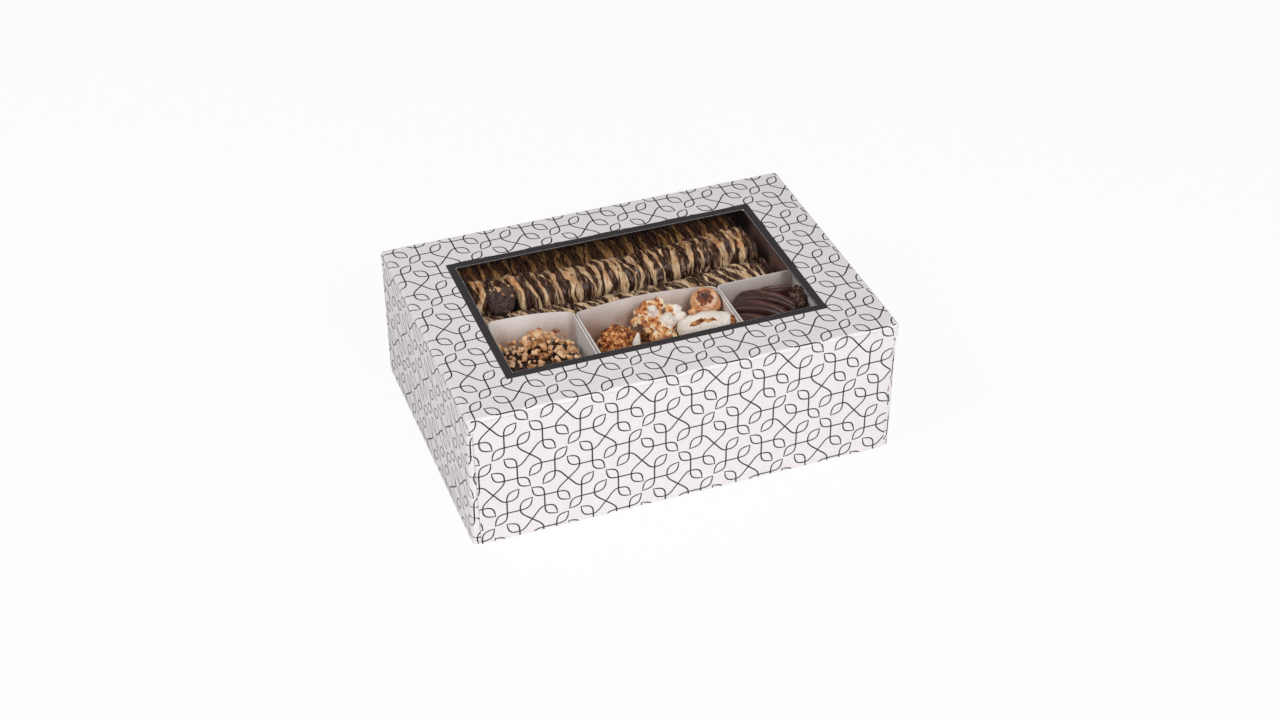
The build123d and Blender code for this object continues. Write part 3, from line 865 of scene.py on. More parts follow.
def slice_layer(bm, start, end, number, seed, middle_y, foot, half_depth, height, material):
    """One layer of a slice: an upright disc with a flat foot between two wandering faces."""
    part = bmesh.new()
    bmesh.ops.create_cone(
        part, cap_ends=True, cap_tris=False, segments=slice_segments, radius1=1, radius2=1, depth=1
    )
    rims = [edge for edge in part.edges if abs(edge.verts[0].co.z - edge.verts[1].co.z) < 0.5]
    bmesh.ops.bevel(
        part, geom=rims, offset=slice_soft_edge, segments=1, profile=0.5, affect="EDGES", material=-1
    )
    for vertex in part.verts:
        across, up, along = vertex.co.y, vertex.co.x, vertex.co.z + 0.5
        direction = Vector((across, up, 0)).normalized()
        powers = abs(direction.x) ** slice_squareness + abs(direction.y) ** slice_squareness
        wave = noise.noise(direction * rim_wave_scale + Vector((0, 0, number * rim_wave_step + seed)))
        rough = noise.noise(direction * rim_rough_scale + Vector((0, along, number * rim_rough_step + seed)))
        uneven = rim_waviness * (wave - rim_wave_middle) + rim_roughness * (rough - rim_rough_middle)
        radius = powers ** (-1 / slice_squareness) * (1 + uneven)
        y = middle_y + across * half_depth * radius
        z = foot + height / 2 * (1 + max(-slice_foot_share, up * radius))
        x_start = start + layer_face(y, z, number, seed)
        x_end = max(x_start + thinnest_layer, end + layer_face(y, z, number + 1, seed))
        vertex.co = Vector((x_start + (x_end - x_start) * along, y, z))
    bmesh.ops.recalc_face_normals(part, faces=part.faces)
    for face in part.faces:
        face.material_index = material
    add_part(bm, part)


def slice_row(node, seed, finishes, slant=0.0, drop=0.0, breadth=1.0, pushed=False, turned=(0.0, 0.0)):
    """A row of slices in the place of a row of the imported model. Those of the turned span stand back."""
    low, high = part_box(node)
    rng = random.Random(seed)
    bm = bmesh.new()
    half_depth = (high.y - low.y) / 2
    middle_y = (low.y + high.y) / 2
    x = low.x + row_start_margin
    number = 0
    while x < high.x - row_start_margin:
        if x > high.x - row_start_margin - end_slab:
            layers = [(1, (end_slab, end_slab))]
        else:
            widths = wide_cream if rng.random() < wide_cream_chance else thin_cream
            layers = [(0, widths)] + [(1, dark_layer)] * rng.choice(dark_layer_counts)
        slice_height = rng.uniform(*slice_height_shares)
        for material, (thin, wide) in layers:
            thickness = rng.uniform(thin, wide) * breadth
            share = (x - low.x) / (high.x - low.x)
            height = high.z - low.z - drop - row_dip * sin(pi * share) ** 2
            height *= slice_height * rng.uniform(*layer_height_shares)
            reach = half_depth * rng.uniform(*slice_reach_shares)
            y = middle_y
            if turned[0] < x < turned[1]:
                height *= turned_height_share
                reach *= turned_reach_share
                y += half_depth * turned_back_share
            end = min(x + thickness, high.x - row_end_margin)
            slice_layer(bm, x, end - layer_gap_in_row, number, seed, y, low.z, reach, height, material)
            x = end
            number += 1
            if x >= high.x - row_start_margin:
                break
    for vertex in bm.verts:
        vertex.co.z = min(vertex.co.z, high.z + crest_allowance)
        from_end = min(vertex.co.x - low.x, high.x - vertex.co.x)
        vertex.co.x += slant * (middle_y - vertex.co.y) * smooth_step(from_end, 0, row_end_fade)
        if pushed:
            vertex.co.y += bulge_push(vertex.co, 1 - smooth_step(vertex.co.y, low.y, low.y + bulge_fade))
    row = make_piece("detailed_" + node, bm, finishes, "base", [node])
    smooth_shade(row, slice_edge_angle)


# Longest side of a broken chunk and the most that its corners reach, as shares of its size
chunk_longest = 1.25
chunk_corner_reach = 1.08


def chunk(bm, place, size, rng, material=0, shortest=0.75, drawn_in=0.72, softness=0.22):
    """A broken chunk with flat sides and softened edges."""
    part = bmesh.new()
    bmesh.ops.create_cube(part, size=2)
    sides = [rng.uniform(shortest, chunk_longest) * size for _ in range(3)]
    for vertex in part.verts:
        reach = [rng.uniform(drawn_in, chunk_corner_reach) for _ in range(3)]
        vertex.co = Vector([vertex.co[axis] * sides[axis] * reach[axis] for axis in range(3)])
    bmesh.ops.bevel(
        part, geom=part.edges[:], offset=size * softness,
        segments=1, profile=0.5, affect="EDGES", material=-1,
    )
    angle = rng.uniform(0, pi)
    turn = Matrix.Rotation(angle, 3, Vector([rng.uniform(-1, 1) for _ in range(3)]).normalized())
    for vertex in part.verts:
        vertex.co = turn @ vertex.co + Vector(place)
    for face in part.faces:
        face.material_index = material
    add_part(bm, part)


# Slice that lies turned against the middle row
turned_thickness = 0.0050
turned_radius = 0.0105
turned_facing = (-0.28, -0.78, 0.55)
turned_from_left = 0.0245
turned_from_front = 0.0050
turned_below_crest = 0.0080
turned_half_span = 0.0105
turned_number = 3
turned_seed = 8.5
turned_bits = 14
turned_bit_sizes = (0.0004, 0.0010)
turned_bit_side_share = 0.8
turned_bit_level_shares = (0.1, 0.95)
turned_bit_seed = 5
turned_edge_angle = radians(50)
turned_dark = finish(
    "turned_dark", [(0.36, (0.010, 0.004, 0.003)), (0.64, (0.12, 0.060, 0.045))], 420, 0.45,
    bump_scale=900, bump_strength=0.8, bump_distance=0.0012,
)


def turned_slice():
    """Slice that leans on the middle row and shows its dark chocolate face, with a few bits on it."""
    low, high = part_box("middle_slices")
    bm = bmesh.new()
    rng = random.Random(turned_bit_seed)
    height = 2 * turned_radius
    slice_layer(
        bm, 0, turned_thickness, turned_number, turned_seed, 0, -turned_radius, turned_radius, height, 0
    )
    for _ in range(turned_bits):
        y = rng.uniform(-turned_bit_side_share, turned_bit_side_share) * turned_radius
        z = rng.uniform(*turned_bit_level_shares) * turned_radius
        spot = Vector((layer_face(y, z, turned_number, turned_seed), y, z))
        chunk(bm, spot, rng.uniform(*turned_bit_sizes), rng, 1)
    facing = Vector(turned_facing).normalized()
    turn = facing.to_track_quat("-X", "Z").to_matrix()
    place = Vector((low.x + turned_from_left, low.y + turned_from_front, high.z - turned_below_crest))
    for vertex in bm.verts:
        vertex.co = turn @ vertex.co + place
    piece = make_piece("turned_slice", bm, [turned_dark, chopped_nut], "base")
    smooth_shade(piece, turned_edge_angle)


slice_finishes = [slice_cream, slice_dark]
turned_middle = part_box("middle_slices")[0].x + turned_from_left
slice_row("front_slices", lying_row_seed, slice_finishes, front_row_slant, front_row_drop, pushed=True)
slice_row(
    "middle_slices", lying_row_seed, slice_finishes, middle_row_slant,
    turned=(turned_middle - turned_half_span, turned_middle + turned_half_span),
)
slice_row("rear_slices", rear_row_seed, [shaded_rear_cream, shaded_rear_dark], breadth=rear_row_breadth)
turned_slice()


# Chocolates of the left tray
chocolate_gap = 0.003
chocolate_edge = 0.0115
chocolate_cuts = 23
chocolate_waviness = 0.0010
chocolate_wave_scale = 130
chocolate_seed = 31
chocolate_edge_angle = radians(60)

# Chopped nuts on them, placed by shares of half a chocolate's width and depth from its middle
nut_sizes = (0.0012, 0.0015, 0.0019, 0.0023, 0.0026, 0.0030)
large_nut = 0.0036
large_nut_count = 3
nuts_below = 76
nuts_above = 26
nut_tries = 3000
nut_seed = 77
nut_span_x = (-0.86, 0.97)
nut_span_y = (-0.92, 1.02)
upper_nut_spread_x = 0.75
upper_nut_spread_y = 0.6
upper_nut_back = 0.30
nut_outline = 1.1
bare_corner_share = -0.95
upper_bare_share = 0.35
nut_room = 1.05
side_slope_from = 0.60
side_slope = 0.060
front_slope_from = 0.52
front_slope = 0.050
back_rise = 0.0012
nut_seat_share = 0.35
upper_nut_rise = 0.0026
nut_shortest = 0.6
nut_drawn_in = 0.5
nut_softness = 0.12
nut_edge_angle = radians(30)


def rounded_block(low, high, seed):
    """A chocolate block with soft edges and an uneven surface."""
    bm = bmesh.new()
    bmesh.ops.create_cube(bm, size=1)
    size = high - low
    bmesh.ops.scale(bm, vec=size, verts=bm.verts)
    bmesh.ops.subdivide_edges(bm, edges=bm.edges[:], cuts=chocolate_cuts, use_grid_fill=True)
    core = size / 2 - Vector((chocolate_edge, chocolate_edge, chocolate_edge))
    for vertex in bm.verts:
        inner = Vector([max(-core[axis], min(core[axis], vertex.co[axis])) for axis in range(3)])
        away = vertex.co - inner
        if away.length > 0:
            vertex.co = inner + away.normalized() * min(away.length, chocolate_edge)
        wave = noise.noise(vertex.co * chocolate_wave_scale + Vector((seed, seed, 0)))
        vertex.co += vertex.co.normalized() * chocolate_waviness * wave
    bmesh.ops.translate(bm, vec=(low + high) / 2, verts=bm.verts)
    return bm


def nut_chocolates():
    """The two dark chocolates of the left tray and the chopped nuts strewn over them."""
    low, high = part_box("nut_chocolates")
    depth = (high.y - low.y - chocolate_gap) / 2
    spans = {"front": (low.y, low.y + depth), "back": (high.y - depth, high.y)}
    for number, (name, (front, back)) in enumerate(spans.items()):
        block_low, block_high = Vector((low.x, front, low.z)), Vector((high.x, back, high.z))
        bm = rounded_block(block_low, block_high, chocolate_seed + number)
        replaced = ["nut_chocolates"] if number == 0 else []
        block = make_piece(name + "_nut_chocolate", bm, [dark_chocolate], "base", replaced)
        smooth_shade(block, chocolate_edge_angle)
    bm = bmesh.new()
    rng = random.Random(nut_seed)
    for front, back in spans.values():
        placed = []
        for _ in range(nut_tries):
            if len(placed) == nuts_below + nuts_above:
                break
            level = 0 if len(placed) < nuts_below else 1
            share_x = rng.uniform(*nut_span_x)
            share_y = rng.uniform(*nut_span_y)
            if level == 1:
                share_x *= upper_nut_spread_x
                share_y = share_y * upper_nut_spread_y + upper_nut_back
            if share_x ** 4 + share_y ** 4 > nut_outline:
                continue
            if share_x + share_y < bare_corner_share + upper_bare_share * level:
                continue
            x = (low.x + high.x) / 2 + share_x * (high.x - low.x) / 2
            y = (front + back) / 2 + share_y * (back - front) / 2
            size = large_nut if len(placed) < large_nut_count else rng.choice(nut_sizes)
            beside = [one for one in placed if one[2] == level]
            if any(Vector((x - one[0], y - one[1])).length < nut_room * size + one[3] for one in beside):
                continue
            slope = max(0.0, abs(share_x) - side_slope_from) ** 2 * side_slope
            slope += max(0.0, -share_y - front_slope_from) ** 2 * front_slope
            slope -= back_rise * (1 + share_y)
            placed.append((x, y, level, size))
            place = (x, y, high.z - slope + size * nut_seat_share + level * upper_nut_rise)
            chunk(bm, place, size, rng, 0, nut_shortest, nut_drawn_in, nut_softness)
    nuts = make_piece("nut_pieces", bm, [chopped_nut], "base", ["chopped_nuts"])
    smooth_shade(nuts, nut_edge_angle)


nut_chocolates()


# Skins of the clusters: width of the mesh cells, height and scale of the relief, and its seed
crumb_skin = (0.0010, 0.0020, 380, 3)
caramel_skin = (0.0008, 0.0016, 280, 8)
praline_skin = (0.0008, 0.0009, 260, 12)
roll_skin = (0.0010, 0.0007, 150, 21)
lower_skin = (0.0016, 0.0012, 260, 30)
nugget_skin = (0.0009, 0.0014, 420, 41)
caramel_smoothings = 7
relief_drift = (3.1, 1.7, 0.9)
fine_relief_scale = 3.2
fine_relief_share = 0.5

# Crumbs strewn over them: their count, smallest and largest size, and the seed
crumb_bits = (170, (0.0004, 0.0010), 5)
roll_bits = (80, (0.0003, 0.0007), 9)
nugget_bits = (60, (0.0005, 0.0012), 42)
bit_seat_shares = (-0.2, 0.5)
lowest_bit_slope = -0.3
cluster_edge_angle = radians(60)
crumbed_edge_angle = radians(35)


def lumpy_mesh(lumps, voxel, relief, relief_scale, seed, smoothings=1):
    """One closed rough surface round a group of round lumps. Each lump is a middle and a radius."""
    bm = bmesh.new()
    for place, radius in lumps:
        made = bmesh.ops.create_icosphere(bm, subdivisions=3, radius=radius)["verts"]
        bmesh.ops.translate(bm, vec=place, verts=made)
    mesh = bpy.data.meshes.new("lumps")
    bm.to_mesh(mesh)
    bm.free()
    holder = bpy.data.objects.new("lumps", mesh)
    bpy.context.scene.collection.objects.link(holder)
    remesh = holder.modifiers.new("skin", "REMESH")
    remesh.mode = "VOXEL"
    remesh.voxel_size = voxel
    skin = bpy.data.meshes.new_from_object(holder.evaluated_get(bpy.context.evaluated_depsgraph_get()))
    bpy.data.objects.remove(holder)
    bpy.data.meshes.remove(mesh)
    bm = bmesh.new()
    bm.from_mesh(skin)
    bpy.data.meshes.remove(skin)
    for _ in range(smoothings):
        bmesh.ops.smooth_vert(
            bm, verts=bm.verts, factor=0.5, use_axis_x=True, use_axis_y=True, use_axis_z=True
        )
    bm.normal_update()
    drift = Vector([seed * step for step in relief_drift])
    for vertex in bm.verts:
        coarse = noise.noise(vertex.co * relief_scale + drift)
        fine = noise.noise(vertex.co * relief_scale * fine_relief_scale + drift)
        vertex.co += vertex.normal * relief * (coarse + fine_relief_share * fine)
    bm.normal_update()
    return bm


def strew(bm, count, sizes, seed, material=0, where=None):
    """Small broken bits over the surface that the bmesh holds so far."""
    rng = random.Random(seed)
    spots = [(vertex.co.copy(), vertex.normal.copy()) for vertex in bm.verts]
    if where:
        spots = [spot for spot in spots if where(*spot)]
    for _ in range(count):
        place, normal = rng.choice(spots)
        size = rng.uniform(*sizes)
        chunk(bm, place + normal * size * rng.uniform(*bit_seat_shares), size, rng, material)


def above_foot(place, normal):
    """Whether a spot of a cluster faces up or aside, and not down."""
    return normal.z > lowest_bit_slope


def node_lumps(node, shares):
    """Lumps given as shares of a node's box: x, y, z from its low corner, radius as a share of its width."""
    low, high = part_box(node)
    size = high - low
    lumps = []
    for x, y, z, radius_share in shares:
        place = Vector((low.x + size.x * x, low.y + size.y * y, low.z + size.z * z))
        lumps.append((place, size.x * radius_share))
    return lumps


def patchwork(bm, lumps, is_second, scale, mixing, seed):
    """Gives the faces of a cluster its second finish near some of its lumps, with ragged borders."""
    drift = Vector((seed, 2 * seed, 3 * seed))
    for face in bm.faces:
        centre = face.calc_center_median()
        gaps = [(place - centre).length - radius for place, radius in lumps]
        leaning = 1.0 if is_second[gaps.index(min(gaps))] else -1.0
        face.material_index = 1 if leaning + mixing * noise.noise(centre * scale + drift) > 0 else 0


# Lumps of the clusters, as node_lumps takes them
crumb_shares = (
    (0.44, 0.59, 0.59, 0.34), (0.19, 0.64, 0.48, 0.23), (0.76, 0.73, 0.52, 0.21), (0.47, 0.83, 0.86, 0.19),
    (0.25, 0.83, 0.75, 0.15), (0.66, 0.87, 0.78, 0.15), (0.47, 0.26, 0.40, 0.25), (0.62, 0.56, 0.72, 0.18),
)
caramel_shares = (
    (0.51, 0.49, 0.35, 0.25), (0.06, 0.79, 0.37, 0.09), (0.16, 0.86, 0.66, 0.10), (0.30, 0.86, 0.83, 0.10),
    (0.41, 0.84, 0.85, 0.11), (0.57, 0.87, 0.84, 0.11), (0.38, 0.67, 0.80, 0.105), (0.73, 0.70, 0.70, 0.10),
    (0.83, 0.67, 0.66, 0.115), (0.85, 0.49, 0.57, 0.12), (0.56, 0.43, 0.55, 0.17), (0.24, 0.43, 0.46, 0.12),
    (0.18, 0.64, 0.55, 0.11), (0.30, 0.22, 0.31, 0.14), (0.52, 0.16, 0.29, 0.15), (0.72, 0.61, 0.35, 0.20),
    (0.40, 0.73, 0.44, 0.21),
)
nugget_shares = ((0.60, 0.52, 0.46, 0.40), (0.78, 0.85, 0.44, 0.34), (0.50, 0.27, 0.38, 0.32))

# Patches of the caramel cluster: its white lumps, the ragged borders, and amber near its left end
white_lumps = (6, 8, 9, 10)
patch_scale = 260
patch_mixing = 1.5
patch_seed = 4
amber_scale = 330
amber_middle_share = 0.20
amber_least = -0.05
amber_fading = 0.7

# Wedge of white chocolate that stands in the crumb cluster, by shares of the cluster's box
wedge_low_shares = (0.60, 0.02, 0.0)
wedge_high_shares = (0.98, 0.36, 1.12)
wedge_top_share = 0.16
wedge_soft_edge = 0.0006


def crumb_cluster():
    """Golden brown cluster rolled in crumbs, left in the heap, with a wedge of white chocolate in it."""
    low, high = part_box("crumb_cluster")
    size = high - low
    lumps = node_lumps("crumb_cluster", crumb_shares)
    bm = lumpy_mesh(lumps, *crumb_skin)
    strew(bm, *crumb_bits, where=above_foot)
    wedge = bmesh.new()
    bmesh.ops.create_cube(wedge, size=1)
    for vertex in wedge.verts:
        shares = []
        for axis in range(3):
            start, end = wedge_low_shares[axis], wedge_high_shares[axis]
            place = vertex.co[axis] + 0.5
            if axis < 2 and vertex.co.z > 0:
                place = 1 - (1 - place) * wedge_top_share
            shares.append(start + (end - start) * place)
        vertex.co = low + Vector([size[axis] * shares[axis] for axis in range(3)])
    bmesh.ops.bevel(
        wedge, geom=wedge.edges[:], offset=wedge_soft_edge,
        segments=2, profile=0.5, affect="EDGES", material=-1,
    )
    for face in wedge.faces:
        face.material_index = 1
    add_part(bm, wedge)
    finishes = [brown_crumb, white_chocolate]
    piece = make_piece("crumb_coated_cluster", bm, finishes, "base", ["crumb_cluster"])
    smooth_shade(piece, crumbed_edge_angle)


def caramel_cluster():
    """White and caramel cluster in the middle of the heap."""
    lumps = node_lumps("caramel_cluster", caramel_shares)
    bm = lumpy_mesh(lumps, *caramel_skin, caramel_smoothings)
    is_caramel = [number not in white_lumps for number in range(len(lumps))]
    patchwork(bm, lumps, is_caramel, patch_scale, patch_mixing, patch_seed)
    low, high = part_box("caramel_cluster")
    for face in bm.faces:
        centre = face.calc_center_median()
        left_share = (centre.x - low.x) / (high.x - low.x)
        least = amber_least + amber_fading * abs(left_share - amber_middle_share)
        if face.material_index == 1 and noise.noise(centre * amber_scale) > least:
            face.material_index = 2
    finishes = [white_chocolate, caramel_crumb, amber_crumb]
    piece = make_piece("white_caramel_cluster", bm, finishes, "base", ["caramel_cluster"])
    smooth_shade(piece, cluster_edge_angle)


# Praline: lengths along its lumps are shares of its radius
praline_radius = 0.0106
praline_foot_rise = 0.55
praline_foot_share = 0.6
praline_lobe_place = (-0.98, -0.25, -0.45)
praline_lobe_share = 0.33
praline_shift = Vector((0.0026, 0.0029, 0.0031))
praline_hollow = Vector((-0.30, -0.46, 0.83)).normalized()
hollow_angle = 0.42
hollow_depth = 0.0032
dark_angle = 0.30
toffee_angle = 0.54
# Past this share of the radius to the right, toffee colour is painted shade on the praline's side
toffee_shade_side_share = 0.84
streak_depths = (0.26, 0.14)
streak_scales = (380, 1100)
praline_dust = [(0.3, (0.50, 0.15, 0.050)), (0.5, (0.84, 0.41, 0.18)), (0.75, (1.0, 0.70, 0.43))]
praline_dust_scale = 95
praline_dust_span = (0.30, 0.44)


def round_praline():
    """Round praline, orange brown with toffee streaks round a dark hollow on top, and toffee colour painted
    over its right side as shade.
    """
    low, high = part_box("round_praline")
    middle = (low + high) / 2 + praline_shift
    radius = praline_radius
    coat = dusted(white_chocolate, "praline_coat", praline_dust, praline_dust_scale, *praline_dust_span)
    foot = Vector((middle.x, middle.y, low.z + radius * praline_foot_rise))
    side_lobe = middle + Vector([radius * share for share in praline_lobe_place])
    lumps = [(middle, radius), (foot, radius * praline_foot_share), (side_lobe, radius * praline_lobe_share)]
    bm = lumpy_mesh(lumps, *praline_skin)
    for vertex in bm.verts:
        offset = vertex.co - middle
        angle = offset.angle(praline_hollow)
        if angle < hollow_angle:
            vertex.co -= praline_hollow * hollow_depth * (1 - angle / hollow_angle)
    for face in bm.faces:
        offset = face.calc_center_median() - middle
        streaks = [noise.noise(offset * scale) for scale in streak_scales]
        ragged = streak_depths[0] * streaks[0] + streak_depths[1] * streaks[1]
        angle = offset.angle(praline_hollow) + ragged
        if angle < dark_angle:
            face.material_index = 2
        elif angle < toffee_angle or offset.x / radius + ragged > toffee_shade_side_share:
            face.material_index = 1
    finishes = [coat, toffee, turned_dark]
    piece = make_piece("praline", bm, finishes, "base", ["round_praline"])
    smooth_shade(piece, cluster_edge_angle)


# White roll: a row of round lumps, thinner at the ends and thinnest at the left one
roll_lumps = 13
roll_end_taper = 0.14
roll_left_taper = 0.08
roll_waviness = 0.03
roll_wave_step = 1.7
roll_turn = radians(-12)
roll_half_length = 0.0130
roll_radius = 0.0091
roll_place = Vector((0.0015, 0.0080, 0))
roll_stretch = 1.30
roll_stripe = (-0.68, -0.46)
roll_stripe_reach = (-0.90, 0.45)
roll_crumbed_end = 1.26
stripe_ragged = 0.08
stripe_ragged_scale = 500
stripe_end_ragged = 0.15
stripe_end_scale = 400


def white_roll():
    """White roll with a stripe of crumbs along its front."""
    low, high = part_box("white_roll")
    axis = Vector((cos(roll_turn), sin(roll_turn), 0))
    aside = Vector((-sin(roll_turn), cos(roll_turn), 0))
    middle = (low + high) / 2 + roll_place
    middle.z = low.z + roll_radius * roll_stretch
    lumps = []
    for step in range(roll_lumps):
        along = 2 * step / (roll_lumps - 1) - 1
        taper = roll_end_taper * along ** 2 + roll_left_taper * max(0.0, -along)
        share = 1 - taper + roll_waviness * sin(step * roll_wave_step)
        lumps.append((middle + axis * roll_half_length * along, roll_radius * share))
    bm = lumpy_mesh(lumps, *roll_skin)
    for vertex in bm.verts:
        vertex.co.z = middle.z + (vertex.co.z - middle.z) * roll_stretch
    bm.normal_update()

    def in_stripe(place, normal):
        offset = place - middle
        away = offset.dot(aside) / roll_radius
        away += stripe_ragged * noise.noise(place * stripe_ragged_scale)
        along = offset.dot(axis) / roll_half_length
        along += stripe_end_ragged * noise.noise(place * stripe_end_scale)
        beside = roll_stripe[0] < away < roll_stripe[1]
        within = roll_stripe_reach[0] < along < roll_stripe_reach[1]
        return normal.z > 0 and (beside and within or along > roll_crumbed_end)

    for face in bm.faces:
        if in_stripe(face.calc_center_median(), face.normal):
            face.material_index = 1
    strew(bm, *roll_bits, 1, where=in_stripe)
    finishes = [white_chocolate, brown_crumb]
    piece = make_piece("white_nougat_roll", bm, finishes, "base", ["white_roll"])
    smooth_shade(piece, cluster_edge_angle)


# Wedge beside the crumb cluster: its foot and its top as shares of the box of its node
side_wedge_foot_share = 0.95
side_wedge_top_width = 0.3
side_wedge_top_depth = 0.55
side_wedge_unevenness = 0.0006
side_wedge_soft_edge = 0.0008
side_wedge_seed = 4


def white_chunk():
    """Wedge of white chocolate beside the crumb cluster."""
    low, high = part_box("white_chunk")
    bm = bmesh.new()
    rng = random.Random(side_wedge_seed)
    bmesh.ops.create_cube(bm, size=1)
    bmesh.ops.scale(bm, vec=(high - low) * side_wedge_foot_share, verts=bm.verts)
    for vertex in bm.verts:
        if vertex.co.z > 0:
            vertex.co.x *= side_wedge_top_width
            vertex.co.y *= side_wedge_top_depth
        shift = [rng.uniform(-side_wedge_unevenness, side_wedge_unevenness) for _ in range(3)]
        vertex.co += Vector(shift)
    bmesh.ops.bevel(
        bm, geom=bm.edges[:], offset=side_wedge_soft_edge,
        segments=2, profile=0.5, affect="EDGES", material=-1,
    )
    bmesh.ops.translate(bm, vec=(low + high) / 2, verts=bm.verts)
    piece = make_piece("white_wedge", bm, [white_chocolate], "base", ["white_chunk"])
    smooth_shade(piece)


# Lower layer of the middle tray
lower_lump_radius = 0.0085
lower_lump_count = 6
lower_lump_shares = (0.88, 1.0)
lower_lump_unevenness = 0.001
lower_seed = 15


def lower_layer():
    """Clusters that lie under the others and show only between them."""
    low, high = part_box("lower_clusters")
    rng = random.Random(lower_seed)
    span_x = high.x - low.x - 2 * lower_lump_radius
    span_y = high.y - low.y - 2 * lower_lump_radius
    lumps = []
    for column in range(lower_lump_count):
        for row in range(lower_lump_count):
            x = low.x + lower_lump_radius + span_x * column / (lower_lump_count - 1)
            y = low.y + lower_lump_radius + span_y * row / (lower_lump_count - 1)
            z = high.z - lower_lump_radius + rng.uniform(-lower_lump_unevenness, lower_lump_unevenness)
            lumps.append((Vector((x, y, z)), lower_lump_radius * rng.uniform(*lower_lump_shares)))
    bm = lumpy_mesh(lumps, *lower_skin)
    finishes = [brown_crumb]
    piece = make_piece("lower_layer_clusters", bm, finishes, "base", ["lower_clusters"])
    smooth_shade(piece, cluster_edge_angle)


# Sticks: the ends are rounded off, the crown is higher than the sides, and ribs run along it
stick_cuts = 19
stick_bow = 0.0030
stick_taper = 0.30
stick_taper_span = (-0.3, 0.5)
stick_rib = 0.0004
stick_rib_waves = 2.5
stick_end_power = 5
stick_end_drop = 0.55
stick_end_width_share = 0.75
stick_crown_drop = 0.80
stick_side_height_share = 0.30
stick_unevenness = 0.0005
stick_uneven_steps = (5, 3)
stick_edge_angle = radians(50)

# Painted highlight: a pale stripe on the upward faces along a stick, by shares of its width from its middle
highlight_stripe = (0.12, 0.36)
highlight_stripe_ragged = 0.0004
highlight_stripe_scale = 400
highlight_stripe_slope = 0.25


def ribbed_stick(bm, middle, length, width, height, turn, seed, bow=stick_bow):
    """A bowed, tapered stick with lengthways ribs, the highest of them painted paler as a highlight."""
    part = bmesh.new()
    bmesh.ops.create_cube(part, size=1)
    bmesh.ops.subdivide_edges(part, edges=part.edges[:], cuts=stick_cuts, use_grid_fill=True)
    rotation = Matrix.Rotation(turn, 3, "Z")
    for vertex in part.verts:
        x, y, z = vertex.co
        end_round = sqrt(max(0.0, 1 - abs(2 * x) ** stick_end_power * stick_end_drop))
        crown = sqrt(max(0.0, 1 - (2 * y) ** 2 * stick_crown_drop)) * end_round
        ribs = stick_rib * cos(2 * y * pi * stick_rib_waves) * (z + 0.5)
        spot = Vector((x * stick_uneven_steps[0], y * stick_uneven_steps[1], seed))
        uneven = stick_unevenness * noise.noise(spot)
        narrowing = 1 - stick_taper * smooth_step(x, *stick_taper_span)
        narrowing *= stick_end_width_share + (1 - stick_end_width_share) * end_round
        level = -0.5 + (z + 0.5) * (stick_side_height_share + (1 - stick_side_height_share) * crown)
        arch = bow * (1 - (2 * x) ** 2) - bow / 2
        vertex.co = Vector((x * length, y * width * narrowing + arch, level * height + ribs + uneven))
        vertex.co = rotation @ vertex.co + Vector(middle)
    bmesh.ops.recalc_face_normals(part, faces=part.faces)
    back = rotation @ Vector((0, 1, 0))
    for face in part.faces:
        offset = face.calc_center_median() - Vector(middle)
        aside = offset.dot(back) + highlight_stripe_ragged * noise.noise(offset * highlight_stripe_scale)
        in_stripe = width * highlight_stripe[0] < aside < width * highlight_stripe[1]
        if face.normal.z > highlight_stripe_slope and in_stripe:
            face.material_index = 1
    add_part(bm, part)


# Sticks of the right tray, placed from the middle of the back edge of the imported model's sticks
slant_turn = radians(-40)
slant_length = 0.041
slant_width = 0.0125
slant_bow = 0.0060
slant_places = ((0.0110, -0.0150), (0.0020, -0.0250), (-0.0060, -0.0400))
back_stick_place = (0.0190, -0.0075)
back_stick_length = 0.026
back_stick_width = 0.008
back_stick_turn = radians(-9)
back_stick_seed = 7
lengthways_count = 5
lengthways_back_gap = 0.012
lengthways_width_share = 0.95
lengthways_seed = 90
stick_layers = 2


def sticks():
    """Broad chocolate sticks that slant over the lengthways layers of the right tray."""
    low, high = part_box("chocolate_sticks")
    bm = bmesh.new()
    middle_x = (low.x + high.x) / 2
    middle_z = (low.z + high.z) / 2
    height = high.z - low.z
    for number, (right, front) in enumerate(slant_places):
        place = (middle_x + right, high.y + front, middle_z)
        ribbed_stick(bm, place, slant_length, slant_width, height, slant_turn, number, slant_bow)
    place = (middle_x + back_stick_place[0], high.y + back_stick_place[1], middle_z)
    ribbed_stick(bm, place, back_stick_length, back_stick_width, height, back_stick_turn, back_stick_seed)
    finishes = [milk_chocolate, ridge_highlight_chocolate]
    piece = make_piece("slanting_sticks", bm, finishes, "base", ["chocolate_sticks"])
    smooth_shade(piece, stick_edge_angle)
    low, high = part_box("lower_sticks")
    bm = bmesh.new()
    room = (high.x - low.x) / lengthways_count
    width = room * lengthways_width_share
    height = (high.z - low.z) / stick_layers
    length = high.y - low.y - lengthways_back_gap
    for number in range(lengthways_count * stick_layers):
        layer, column = divmod(number, lengthways_count)
        place = (low.x + room * (column + 0.5), low.y + length / 2, low.z + height * (layer + 0.5))
        ribbed_stick(bm, place, length, width, height, pi / 2, lengthways_seed + number, 0.0)
    piece = make_piece("lengthways_sticks", bm, finishes, "base", ["lower_sticks"])
    smooth_shade(piece, stick_edge_angle)


dark_nugget = dusted(
    milk_chocolate, "dark_nugget", [(0.3, (0.14, 0.050, 0.028)), (0.7, (0.42, 0.25, 0.16))], 420, 0.46, 0.60
)


def crumb_nugget():
    """Dark nutty nugget in the right tray."""
    bm = lumpy_mesh(node_lumps("crumb_nugget", nugget_shares), *nugget_skin)
    strew(bm, *nugget_bits, where=above_foot)
    piece = make_piece("nutty_nugget", bm, [dark_nugget], "base", ["crumb_nugget"])
    smooth_shade(piece, crumbed_edge_angle)


crumb_cluster()
caramel_cluster()
round_praline()
white_roll()
white_chunk()
lower_layer()
sticks()
crumb_nugget()


